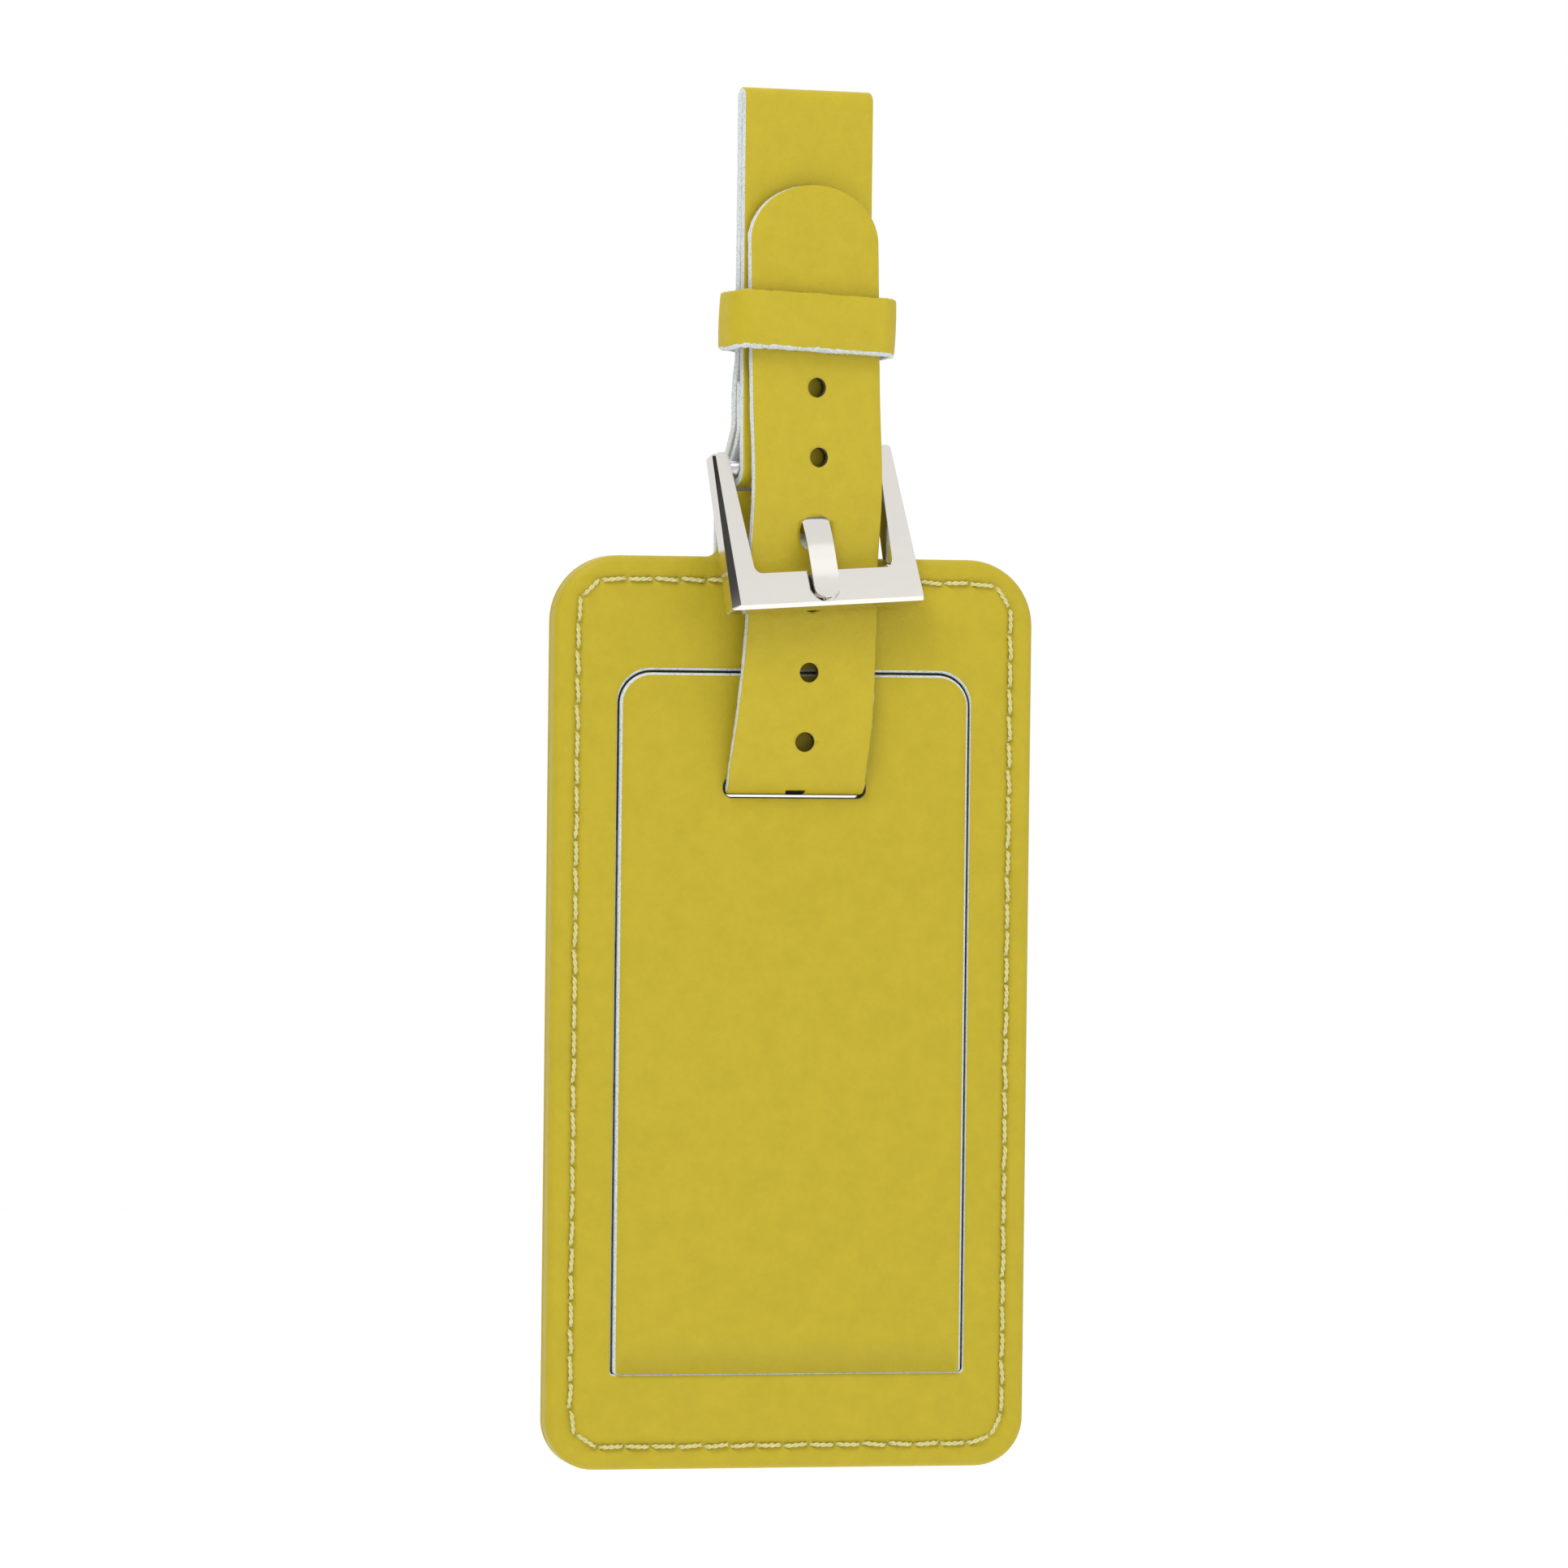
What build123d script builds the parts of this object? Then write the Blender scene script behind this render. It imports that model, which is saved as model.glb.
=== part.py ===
from build123d import *
import os
from math import cos, sin, radians

# Leather luggage tag hung on its own buckled strap.
# Frame: +Z up, +X to the right seen from the front, -Y towards the front.
# Origin: the inside of the strap's top fold, where a bag handle pulls.

# ---------------------------------------------------------------- strap
STRAP_WIDTH = 16.4
STRAP_THICK = 1.15
SKIVED_THICK = 0.7
SKIVED_Y = 0.17
FOLD_CENTRE_Z = -0.075
FOLD_MID_RADIUS = 0.65
LOOP_YAW = 12.0
TIP_TOP_Z = -10.1
TIP_ROUND_HEIGHT = 6.6
TIP_LEG_Y = -2.52
PUNCH_DIAMETER = 2.3
# (shift across the loop, height) of the punched holes in the straight part of the tip leg
LOOP_PUNCHES = [(0.4, -33.6), (0.65, -41.7)]
# (world x, height) of the punched holes below the buckle
LOWER_PUNCHES = [(1.05, -58.5), (0.9, -66.7), (0.6, -74.8)]
BIGHT_PUNCH = (0.0, 1.7, -80.4)
BIGHT_PUNCH_TILT = 20.0

# ---------------------------------------------------------------- buckle
HEEL_SHIFT = 0.1
HEEL_Y = 0.75
HEEL_Z = -42.6
HEEL_FOLD_RADIUS = 1.16
PIN_RADIUS = 0.9
PIN_FIT = 0.06
FRAME_PIN_FIT = 0.02
BUCKLE_SHIFT = 0.48
BUCKLE_ROLL = 3.5
BUCKLE_TILT = 17.6
FRAME_DEPTH = 2.2
FRAME_HALF_TOP = 11.5
FRAME_HALF_BOTTOM = 12.35
FRAME_TOP = 1.9
FRAME_BOTTOM = -17.3
OPENING_HALF_TOP = 9.5
OPENING_HALF_BOTTOM = 8.75
OPENING_BOTTOM = -13.0
BAR_NOTCH_WIDTH = 3.8
BAR_NOTCH_DEPTH = 0.55
BAR_NOTCH_BOTTOM = -16.95
PRONG_SHIFT = -0.3
PRONG_WIDTH = 3.4
PRONG_THICK = 1.2
PRONG_RING_RADIUS = 2.1
PRONG_SLOT_WIDTH = 4.2
PRONG_HOLE_WIDTH = 4.0
PRONG_HOLE_THICK = 2.9
# side profile of the prong measured from the heel pin: (forward is negative, height)
PRONG_PATH = [(-1.5, 0.0), (-1.6, -2.0), (-2.1, -4.4), (-3.25, -6.6), (-4.1, -8.6),
              (-4.7, -10.6), (-5.36, -13.0), (-6.16, -15.5)]
PRONG_CROSSING = (-3.4, -6.9)
PRONG_CROSSING_LEAN = 27.0

# ---------------------------------------------------------------- keeper
KEEPER_MIDDLE_Z = -26.0
KEEPER_HEIGHT = 6.8
KEEPER_SHIFT = 0.2
KEEPER_ROLL = 2.0
KEEPER_INNER_WIDTH = 18.9
KEEPER_INNER_FRONT_Y = -3.5
KEEPER_INNER_BACK_Y = 1.5
KEEPER_INNER_CORNER = 1.2
KEEPER_OUTER_CORNER = 2.6
KEEPER_WALL = 1.2

# ---------------------------------------------------------------- tag body
TAG_WIDTH = 57.3
TAG_TOP_Z = -53.3
TAG_BOTTOM_Z = -159.8
TAG_FRONT_Y = 1.5
TAG_BACK_Y = 5.7
TOP_CORNER = 7.75
BOTTOM_CORNER = 5.75
LEATHER = 1.2
HEM_WIDTH = 3.9
LAYER_GAP = 0.05
EDGE_ROUND = 0.9
TAB_WIDTH = 18.0
TAB_TOP_Z = -45.6
TAB_BASE_FILLET = 1.5
TAB_CREASE_Z = -49.4
FLAP_WIDTH = 41.7
FLAP_TOP_Z = -66.9
FLAP_HINGE_Z = -148.7
FLAP_HINGE_GAP = 0.1
FLAP_CORNER = 3.7
FLAP_PROUD = 0.25
FLAP_CUT = 0.3
SLOT_WIDTH = 16.9
SLOT_TOP_Z = -79.1
SLOT_BOTTOM_Z = -81.6
BOARD_THICK = 0.8
CARD_THICK = 0.3
WINDOW_THICK = 0.25
POCKET_TOP_Z = -84.0
CARD_WIDTH = 48.0
CARD_HEIGHT = 70.0

# ---------------------------------------------------------------- thread
THREAD_RADIUS = 0.25
SEAM_INSET = 2.75
SEAM_CORNER = 3.4
SEAM_GROOVE_WIDTH = 1.4
SEAM_GROOVE_DEPTH = 0.25
STITCH_PITCH = 3.15
NEEDLE_HOLE_RADIUS = 0.6
TURN_BACK_ROW_Z = -35.6
TURN_BACK_PITCH = 2.8
TURN_BACK_COUNT = 5
KEEPER_STITCH = 2.6
KEEPER_STITCH_ROWS = (-2.1, 0.0, 2.1)


def in_loop(shape):
    """Turn a shape drawn square to the axes into the strap loop's yaw."""
    return Rot(0, 0, LOOP_YAW) * shape


def loop_point(shift, y, z):
    """World point of a place given across, through and along the loop."""
    yaw = radians(LOOP_YAW)
    return (shift * cos(yaw) - y * sin(yaw), shift * sin(yaw) + y * cos(yaw), z)


def at_buckle(shape):
    """Place a shape drawn about the heel pin into the world."""
    return in_loop(Pos(BUCKLE_SHIFT, HEEL_Y, HEEL_Z) * Rot(0, -BUCKLE_ROLL, 0) * shape)


def loop_station(shift, y, z, roll=0.0, thick=STRAP_THICK, yaw=LOOP_YAW):
    """Strap station in the loop: centre, yaw and roll of its width, thickness."""
    return [*loop_point(shift, y, z), yaw, roll, thick]


def tag_station(x, y, z, yaw=0.0):
    """Strap station given in world coordinates."""
    return [x, y, z, yaw, 0.0, STRAP_THICK]


def blend(before, start, end, after, t):
    """Catmull-Rom value between two stations, every number alike."""
    row = []
    for a, b, c, d in zip(before, start, end, after):
        row.append(0.5 * (2 * b + (c - a) * t + (2 * a - 5 * b + 4 * c - d) * t ** 2
                          + (3 * b - a - 3 * c + d) * t ** 3))
    return row


def smoothed(stations, steps):
    """Stations filled in with a smooth curve, `steps` per gap."""
    rows = []
    for k in range(len(stations) - 1):
        before = stations[max(k - 1, 0)]
        after = stations[min(k + 2, len(stations) - 1)]
        for step in range(steps):
            rows.append(blend(before, stations[k], stations[k + 1], after, step / steps))
    rows.append(stations[-1])
    return rows


def heel_stations():
    """The skived end of the strap turned back round the heel pin."""
    start_angle = 31.4
    sweep = 211.4
    steps = 14
    rows = [loop_station(HEEL_SHIFT, SKIVED_Y, z, roll, SKIVED_THICK)
            for z, roll in ((-33.0, 0.0), (-35.6, 0.9), (-38.4, 2.3))]
    for k in range(steps + 1):
        thick = SKIVED_THICK + (STRAP_THICK - SKIVED_THICK) * k / steps
        radius = HEEL_FOLD_RADIUS + thick / 2
        angle = radians(start_angle - sweep * k / steps)
        rows.append(loop_station(HEEL_SHIFT, HEEL_Y + radius * cos(angle),
                                 HEEL_Z + radius * sin(angle), BUCKLE_ROLL, thick))
    return rows


def top_fold_stations():
    """The tight fold at the top of the loop."""
    steps = 10
    rows = []
    for k in range(steps + 1):
        angle = radians(180.0 - 180.0 * k / steps)
        rows.append(loop_station(HEEL_SHIFT, FOLD_MID_RADIUS * cos(angle),
                                 FOLD_CENTRE_Z + FOLD_MID_RADIUS * sin(angle)))
    return rows


def front_leg_stations():
    """The leg that runs from the heel pin up to the fold."""
    return [loop_station(HEEL_SHIFT, -0.93, -39.5, 2.6),
            loop_station(HEEL_SHIFT, -0.86, -35.6, 0.9),
            loop_station(HEEL_SHIFT, -0.81, -32.6),
            loop_station(HEEL_SHIFT, -0.69, -28.0),
            loop_station(HEEL_SHIFT, -FOLD_MID_RADIUS, -16.0)]


def back_leg_stations():
    """Down the back, out round the top of the tag, in to the slot."""
    loop_part = [loop_station(HEEL_SHIFT, FOLD_MID_RADIUS, -16.0),
                 loop_station(HEEL_SHIFT, 0.68, -28.5),
                 loop_station(HEEL_SHIFT, 0.78, -30.8),
                 loop_station(0.12, 1.3, -32.5),
                 loop_station(0.2, 1.7, -34.5),
                 loop_station(0.25, 1.82, -36.6),
                 loop_station(0.45, 2.4, -38.4)]
    tag_part = [tag_station(0.0, 3.95, -40.1, 10.0),
                tag_station(0.05, 6.15, -42.1, 8.0),
                tag_station(0.1, 8.3, -44.1, 6.0),
                tag_station(0.1, 9.6, -46.8, 4.5),
                tag_station(0.1, 9.8, -50.4, 3.0),
                tag_station(0.0, 9.0, -58.0, 0.5),
                tag_station(0.0, 7.7, -68.0),
                tag_station(0.0, 7.05, -74.5)]
    return loop_part + tag_part


def bight_stations():
    """Through the slots from the back to the front."""
    return [tag_station(0.0, 6.9, -77.4), tag_station(0.0, 6.65, -79.0),
            tag_station(0.0, 5.9, -80.05), tag_station(0.0, 4.8, -80.45),
            tag_station(0.0, 3.6, -80.5), tag_station(0.0, 2.4, -80.45),
            tag_station(0.0, 1.45, -80.3), tag_station(0.0, 0.6, -79.6)]


def tip_leg_stations():
    """Up the front behind the buckle's bar and over the heel to the tip."""
    return [tag_station(0.0, 0.0, -77.9), tag_station(0.3, -0.65, -74.8, 1.0),
            tag_station(0.7, -1.0, -70.0, 4.5), tag_station(1.0, -1.2, -64.5, 9.0),
            loop_station(1.0, -1.3, -59.0, yaw=11.0), loop_station(0.98, -1.43, -55.2),
            loop_station(0.88, -2.15, -51.0), loop_station(0.75, -2.9, -46.5),
            loop_station(0.65, -3.0, -42.0),
            loop_station(0.4, -2.8, -34.0), loop_station(0.25, -2.68, -25.0),
            loop_station(0.1, TIP_LEG_Y, -16.0), loop_station(0.1, -2.42, TIP_TOP_Z)]


def strap_stations():
    """The whole strap's middle line from the turned-back end to the tip."""
    rows = heel_stations() + front_leg_stations() + top_fold_stations()
    rows += smoothed(back_leg_stations(), 3)
    rows += smoothed([back_leg_stations()[-1]] + bight_stations() + [tip_leg_stations()[0]], 2)[1:-1]
    rows += smoothed(tip_leg_stations(), 3)
    return rows


def strap_section(before, here, after):
    """Rectangle of the strap square to its run at one station."""
    yaw = radians(here[3])
    roll = radians(here[4])
    across = Vector(cos(yaw) * cos(roll), sin(yaw) * cos(roll), sin(roll))
    run = Vector(*after[:3]) - Vector(*before[:3])
    through = across.cross(run).normalized() * (here[5] / 2)
    side = across * (STRAP_WIDTH / 2)
    centre = Vector(*here[:3])
    corners = [centre - side - through, centre + side - through,
               centre + side + through, centre - side + through]
    return Wire.make_polygon(corners, close=True)


def ribbon():
    """The strap before its holes and tip are cut."""
    rows = strap_stations()
    wires = []
    for k, row in enumerate(rows):
        before = rows[max(k - 1, 0)]
        after = rows[min(k + 1, len(rows) - 1)]
        wires.append(strap_section(before, row, after))
    return Solid.make_loft(wires, ruled=True)


def tip_trim():
    """Everything outside the rounded end of the tip leg."""
    half = STRAP_WIDTH / 2
    clear = 3.0
    centre_z = TIP_TOP_Z - TIP_ROUND_HEIGHT
    outside = Pos(0, 0, centre_z + 5.0) * Box(STRAP_WIDTH + clear, 2.6, 10.0)
    rounding = extrude(Plane.XZ * Ellipse(half, TIP_ROUND_HEIGHT), 2.0, both=True)
    trim = outside - Pos(0, 0, centre_z) * rounding
    return in_loop(Pos(0.1, TIP_LEG_Y, 0) * trim)


def punches():
    """The strap's punched holes."""
    def punch():
        return Rot(90, 0, 0) * Cylinder(PUNCH_DIAMETER / 2, 2.2)

    cutters = [in_loop(Pos(shift, -2.85, z) * punch()) for shift, z in LOOP_PUNCHES]
    depths = (-1.0, -1.1, -0.65)
    for (x, z), y in zip(LOWER_PUNCHES, depths):
        cutters.append(Pos(x, y, z) * punch())
    cutters.append(Pos(*BIGHT_PUNCH) * Rot(-90 + BIGHT_PUNCH_TILT, 0, 0)
                   * Cylinder(PUNCH_DIAMETER / 2, 1.9))
    return cutters


def prong_hole():
    """The hole the prong has pulled aslant through the tip leg."""
    reach = 6.0
    body = Box(PRONG_HOLE_WIDTH, PRONG_HOLE_THICK, reach)
    body = fillet(body.edges().filter_by(Axis.Z), 1.1)
    y, z = PRONG_CROSSING
    return at_buckle(Pos(PRONG_SHIFT, y, z) * Rot(-PRONG_CROSSING_LEAN, 0, 0) * body)


def prong_slot():
    """Gap in the turned-back fold where the prong's ring turns."""
    return at_buckle(Pos(PRONG_SHIFT, 0.25, 0) * Box(PRONG_SLOT_WIDTH, 5.0, 7.2))


def turn_back_columns():
    """Places across the strap of the needle holes in the turned-back end."""
    span = TURN_BACK_PITCH * TURN_BACK_COUNT
    return [HEEL_SHIFT - span / 2 + TURN_BACK_PITCH * k for k in range(TURN_BACK_COUNT + 1)]


def strap():
    """One leather strap: heel fold, front leg, top fold, back leg, bight and tip leg."""
    body = ribbon()
    needle_holes = [in_loop(Pos(x, -0.45, TURN_BACK_ROW_Z) * Rot(90, 0, 0)
                            * Cylinder(NEEDLE_HOLE_RADIUS, 2.4)) for x in turn_back_columns()]
    return body - ([tip_trim(), prong_hole(), prong_slot()] + punches() + needle_holes)


def staple_stitch(span, depth, radius=THREAD_RADIUS):
    """One stitch: a thread lying along X at y = -radius with its two ends turned to +Y."""
    lying = Rot(0, 90, 0) * Cylinder(radius, span)
    end = Pos(0, depth / 2, 0) * (Rot(90, 0, 0) * Cylinder(radius, depth))
    knee = Sphere(radius)
    stitch = lying
    for x in (-span / 2, span / 2):
        stitch += Pos(x, 0, 0) * knee
        stitch += Pos(x, 0, 0) * end
    return Pos(0, -radius, 0) * stitch


def turn_back_thread():
    """The row that sews the turned-back end to the front leg, both faces."""
    gap = 2 * THREAD_RADIUS + 0.08
    span = TURN_BACK_PITCH - gap
    columns = turn_back_columns()
    stitches = []
    for left, right in zip(columns[:-1], columns[1:]):
        middle = (left + right) / 2
        front = Pos(middle, -1.45, TURN_BACK_ROW_Z) * staple_stitch(span, 0.9, 0.2)
        back = Pos(middle, 0.54, TURN_BACK_ROW_Z) * Rot(0, 0, 180) * staple_stitch(span, 0.6, 0.15)
        stitches += [in_loop(front), in_loop(back)]
    return Compound(children=stitches)


def at_keeper(shape):
    """Place a shape drawn about the keeper's middle, a little rolled, into the world."""
    middle_y = (KEEPER_INNER_BACK_Y + KEEPER_INNER_FRONT_Y) / 2
    return in_loop(Pos(KEEPER_SHIFT, middle_y, KEEPER_MIDDLE_Z) * Rot(0, KEEPER_ROLL, 0) * shape)


def keeper():
    """Leather band round the three legs, its ends butted at the back."""
    depth = KEEPER_INNER_BACK_Y - KEEPER_INNER_FRONT_Y
    outer = RectangleRounded(KEEPER_INNER_WIDTH + 2 * KEEPER_WALL, depth + 2 * KEEPER_WALL,
                             KEEPER_OUTER_CORNER)
    inner = RectangleRounded(KEEPER_INNER_WIDTH, depth, KEEPER_INNER_CORNER)
    band = extrude(outer - inner, KEEPER_HEIGHT / 2, both=True)
    cutters = [Pos(0, depth / 2 + KEEPER_WALL, 0) * Box(0.15, 0.8, KEEPER_HEIGHT + 1)]
    for x in (-KEEPER_STITCH / 2, KEEPER_STITCH / 2):
        for z in KEEPER_STITCH_ROWS:
            cutters.append(Pos(x, depth / 2 + KEEPER_WALL / 2, z) * (Rot(90, 0, 0)
                                                                     * Cylinder(0.35, 1.5)))
    return at_keeper(band - cutters)


def keeper_thread():
    """Three stitches that close the butt joint of the keeper."""
    back_y = (KEEPER_INNER_BACK_Y - KEEPER_INNER_FRONT_Y) / 2 + KEEPER_WALL
    stitches = []
    for z in KEEPER_STITCH_ROWS:
        stitch = Rot(0, 0, 180) * staple_stitch(KEEPER_STITCH, 1.1)
        stitches.append(at_keeper(Pos(0, back_y, z) * stitch))
    return Compound(children=stitches)


def frame_outline(half_top, half_bottom, top, bottom):
    """Trapezoid in the buckle's plane, drawn with Z up and facing forward."""
    return Polygon((-half_top, top), (half_top, top), (half_bottom, bottom),
                   (-half_bottom, bottom), align=None)


def buckle_frame():
    """Open-topped frame: two legs and the front bar, with a groove for the prong."""
    outer = frame_outline(FRAME_HALF_TOP, FRAME_HALF_BOTTOM, FRAME_TOP, FRAME_BOTTOM)
    outer = fillet(outer.vertices().group_by(Axis.Y)[0], 0.35)
    outer = fillet(outer.vertices().group_by(Axis.Y)[-1], 0.6)
    opening = frame_outline(OPENING_HALF_TOP, OPENING_HALF_BOTTOM, FRAME_TOP + 1.5, OPENING_BOTTOM)
    opening = fillet(opening.vertices().group_by(Axis.Y)[0], 1.0)
    frame = extrude(Plane.XZ * (outer - opening), FRAME_DEPTH / 2, both=True)
    front_edges = frame.edges().filter_by_position(Axis.Y, -FRAME_DEPTH / 2 - 0.01,
                                                   -FRAME_DEPTH / 2 + 0.01)
    frame = chamfer(front_edges, 0.25)
    half = BAR_NOTCH_WIDTH / 2
    run = OPENING_BOTTOM + 1.0 - (BAR_NOTCH_BOTTOM + half)
    groove = Pos(0, OPENING_BOTTOM + 1.0 - run / 2) * Rectangle(BAR_NOTCH_WIDTH, run)
    groove += Pos(0, BAR_NOTCH_BOTTOM + half) * Circle(half)
    groove = extrude(Plane.XZ * (Pos(PRONG_SHIFT, 0) * groove), BAR_NOTCH_DEPTH, both=True)
    frame = frame - Pos(0, -FRAME_DEPTH / 2, 0) * groove
    tilted = Rot(-BUCKLE_TILT, 0, 0) * frame
    pin_way = Rot(0, 90, 0) * Cylinder(PIN_RADIUS + FRAME_PIN_FIT, 30.0)
    return at_buckle(tilted - pin_way)


def heel_pin():
    """Steel pin across the tops of the frame's legs."""
    pin = Rot(0, 90, 0) * Cylinder(PIN_RADIUS, 2 * FRAME_HALF_TOP + 0.1)
    return at_buckle(chamfer(pin.edges(), 0.2))


def prong():
    """Tongue rolled round the heel pin, through the strap and down on to the bar."""
    path = Spline([(y, z, 0) for y, z in PRONG_PATH])
    side = trace(path, PRONG_THICK)
    blade = extrude(side, PRONG_WIDTH / 2, both=True)
    # the side view is drawn with its x along world Y and its y along world Z
    stand = Plane((0, 0, 0), x_dir=(0, 1, 0), z_dir=(1, 0, 0))
    blade = stand.location * blade
    end_edges = blade.edges().sort_by(Axis.Z)[:4]
    corner_edges = [e for e in end_edges if abs(e.tangent_at(0.5).X) < 0.1]
    blade = fillet(corner_edges, 1.5)
    ring = Rot(0, 90, 0) * Cylinder(PRONG_RING_RADIUS, PRONG_WIDTH)
    pin_way = Rot(0, 90, 0) * Cylinder(PIN_RADIUS + PIN_FIT, PRONG_WIDTH + 2)
    return at_buckle(Pos(PRONG_SHIFT, 0, 0) * ((blade + ring) - pin_way))


def facing(sketch, front_y, back_y):
    """A flat layer: a sketch in X and Z given thickness from front_y to back_y."""
    plane = Plane((0, back_y, 0), x_dir=(1, 0, 0), z_dir=(0, -1, 0))
    return extrude(plane * sketch, back_y - front_y)


def tag_outline(inset):
    """The tag's outline, moved in by `inset`, as a sketch in X and Z."""
    width = TAG_WIDTH - 2 * inset
    height = TAG_TOP_Z - TAG_BOTTOM_Z - 2 * inset
    middle = (TAG_TOP_Z + TAG_BOTTOM_Z) / 2
    sketch = Pos(0, middle) * Rectangle(width, height)
    sketch = fillet(sketch.vertices().group_by(Axis.Y)[-1], max(TOP_CORNER - inset, 1.0))
    return fillet(sketch.vertices().group_by(Axis.Y)[0], max(BOTTOM_CORNER - inset, 1.0))


def flap_outline(grow):
    """The flap's outline with round top corners, grown sideways and upwards."""
    width = FLAP_WIDTH + 2 * grow
    height = FLAP_TOP_Z + grow - FLAP_HINGE_Z
    sketch = Pos(0, FLAP_HINGE_Z + height / 2) * Rectangle(width, height)
    return fillet(sketch.vertices().group_by(Axis.Y)[-1], FLAP_CORNER + grow)


def strap_slot(margin):
    """The strap's slot as a sketch, `margin` bigger each way than the flap's."""
    height = SLOT_TOP_Z - SLOT_BOTTOM_Z + 2 * margin
    middle = (SLOT_TOP_Z + SLOT_BOTTOM_Z) / 2
    return Pos(0, middle) * RectangleRounded(SLOT_WIDTH + 2 * margin, height, height / 2 - 0.2)


def seam_path():
    """The line the perimeter seam follows."""
    width = TAG_WIDTH - 2 * SEAM_INSET
    height = TAG_TOP_Z - TAG_BOTTOM_Z - 2 * SEAM_INSET
    middle = (TAG_TOP_Z + TAG_BOTTOM_Z) / 2
    return (Pos(0, middle) * RectangleRounded(width, height, SEAM_CORNER)).wire()


def seam_points():
    """(x, z) of each needle hole round the seam."""
    path = seam_path()
    count = round(path.length / STITCH_PITCH)
    spots = [path.position_at(k / count) for k in range(count)]
    return [(spot.X, spot.Y) for spot in spots]


def seam_groove(front_y, back_y):
    """The shallow groove the seam lies in."""
    width = TAG_WIDTH - 2 * SEAM_INSET
    height = TAG_TOP_Z - TAG_BOTTOM_Z - 2 * SEAM_INSET
    middle = (TAG_TOP_Z + TAG_BOTTOM_Z) / 2
    spread = SEAM_GROOVE_WIDTH
    wide = RectangleRounded(width + spread, height + spread, SEAM_CORNER + spread / 2)
    narrow = RectangleRounded(width - spread, height - spread, SEAM_CORNER - spread / 2)
    return facing(Pos(0, middle) * (wide - narrow), front_y, back_y)


def needle_holes(front_y, back_y):
    """The seam's needle holes from front_y to back_y."""
    length = back_y - front_y
    cutters = []
    for x, z in seam_points():
        cutters.append(Pos(x, (front_y + back_y) / 2, z) * (Rot(90, 0, 0)
                                                            * Cylinder(NEEDLE_HOLE_RADIUS, length)))
    return cutters


def front_panel():
    """Front leather with its hem turned in all round and the flap cut out of it."""
    hem_back = TAG_BACK_Y - LEATHER - LAYER_GAP
    slab = facing(tag_outline(0.0), TAG_FRONT_Y, hem_back)
    rim = slab.faces().sort_by(Axis.Y)[0].edges()
    slab = fillet(rim, EDGE_ROUND)
    hollow = facing(tag_outline(HEM_WIDTH), TAG_FRONT_Y + LEATHER, hem_back)
    opening = facing(flap_outline(FLAP_CUT), TAG_FRONT_Y - 1, TAG_FRONT_Y + LEATHER + 1)
    groove = seam_groove(TAG_FRONT_Y - 1, TAG_FRONT_Y + SEAM_GROOVE_DEPTH)
    return slab - ([hollow, opening, groove] + needle_holes(TAG_FRONT_Y - 1, hem_back + 1))


def back_panel():
    """Back leather with the strap's slot and the tab that stands up from its top edge."""
    front_y = TAG_BACK_Y - LEATHER
    tab_height = TAB_TOP_Z - TAG_TOP_Z + 4.0
    tab = Pos(0, TAB_TOP_Z - tab_height / 2) * Rectangle(TAB_WIDTH, tab_height)
    tab = fillet(tab.vertices().group_by(Axis.Y)[-1], 1.2)
    outline = tag_outline(0.0) + tab
    corners = [v for v in outline.vertices()
               if abs(abs(v.X) - TAB_WIDTH / 2) < 0.01 and abs(v.Y - TAG_TOP_Z) < 0.01]
    outline = fillet(corners, TAB_BASE_FILLET)
    slab = facing(outline, front_y, TAG_BACK_Y)
    slab = fillet(slab.faces().sort_by(Axis.Y)[-1].edges(), EDGE_ROUND / 2)
    crease = Pos(0, front_y, TAB_CREASE_Z) * Rot(45, 0, 0) * Box(TAB_WIDTH + 2, 0.3, 0.3)
    slot = facing(strap_slot(0.3), front_y - 1, TAG_BACK_Y + 1)
    groove = seam_groove(TAG_BACK_Y - SEAM_GROOVE_DEPTH, TAG_BACK_Y + 1)
    return slab - ([crease, slot, groove] + needle_holes(front_y - 1, TAG_BACK_Y + 1))


def privacy_flap():
    """The flap cut from the front, a little proud, with the strap's slot."""
    front_y = TAG_FRONT_Y - FLAP_PROUD
    slab = facing(flap_outline(0.0), front_y, front_y + LEATHER)
    foot = Pos(0, front_y, FLAP_HINGE_Z) * Box(FLAP_WIDTH + 2, 4, 2 * FLAP_HINGE_GAP)
    return slab - [facing(strap_slot(0.0), front_y - 1, front_y + LEATHER + 1), foot]


def stiffener_board():
    """Board glued to the inside of the back leather, cut away for the strap."""
    back_y = TAG_BACK_Y - LEATHER - LAYER_GAP
    slab = facing(tag_outline(HEM_WIDTH + 0.2), back_y - BOARD_THICK, back_y)
    return slab - facing(strap_slot(0.6), back_y - BOARD_THICK - 1, back_y + 1)


def window_sheet():
    """Clear sheet over the card, glued at the sides and bottom behind the front leather."""
    front_y = TAG_FRONT_Y + LEATHER + LAYER_GAP
    width = TAG_WIDTH - 2 * HEM_WIDTH - 0.4
    bottom = TAG_BOTTOM_Z + HEM_WIDTH + 0.2
    height = POCKET_TOP_Z - bottom
    sketch = Pos(0, bottom + height / 2) * RectangleRounded(width, height, 1.5)
    notch = Pos(0, POCKET_TOP_Z) * Circle(6.0)
    return facing(sketch - notch, front_y, front_y + WINDOW_THICK)


def address_card():
    """The paper card in its pocket below the strap's slot."""
    front_y = TAG_FRONT_Y + LEATHER + 2 * LAYER_GAP + WINDOW_THICK
    bottom = TAG_BOTTOM_Z + HEM_WIDTH + 0.6
    sketch = Pos(0, bottom + CARD_HEIGHT / 2) * RectangleRounded(CARD_WIDTH, CARD_HEIGHT, 2.0)
    return facing(sketch, front_y, front_y + CARD_THICK)


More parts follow.
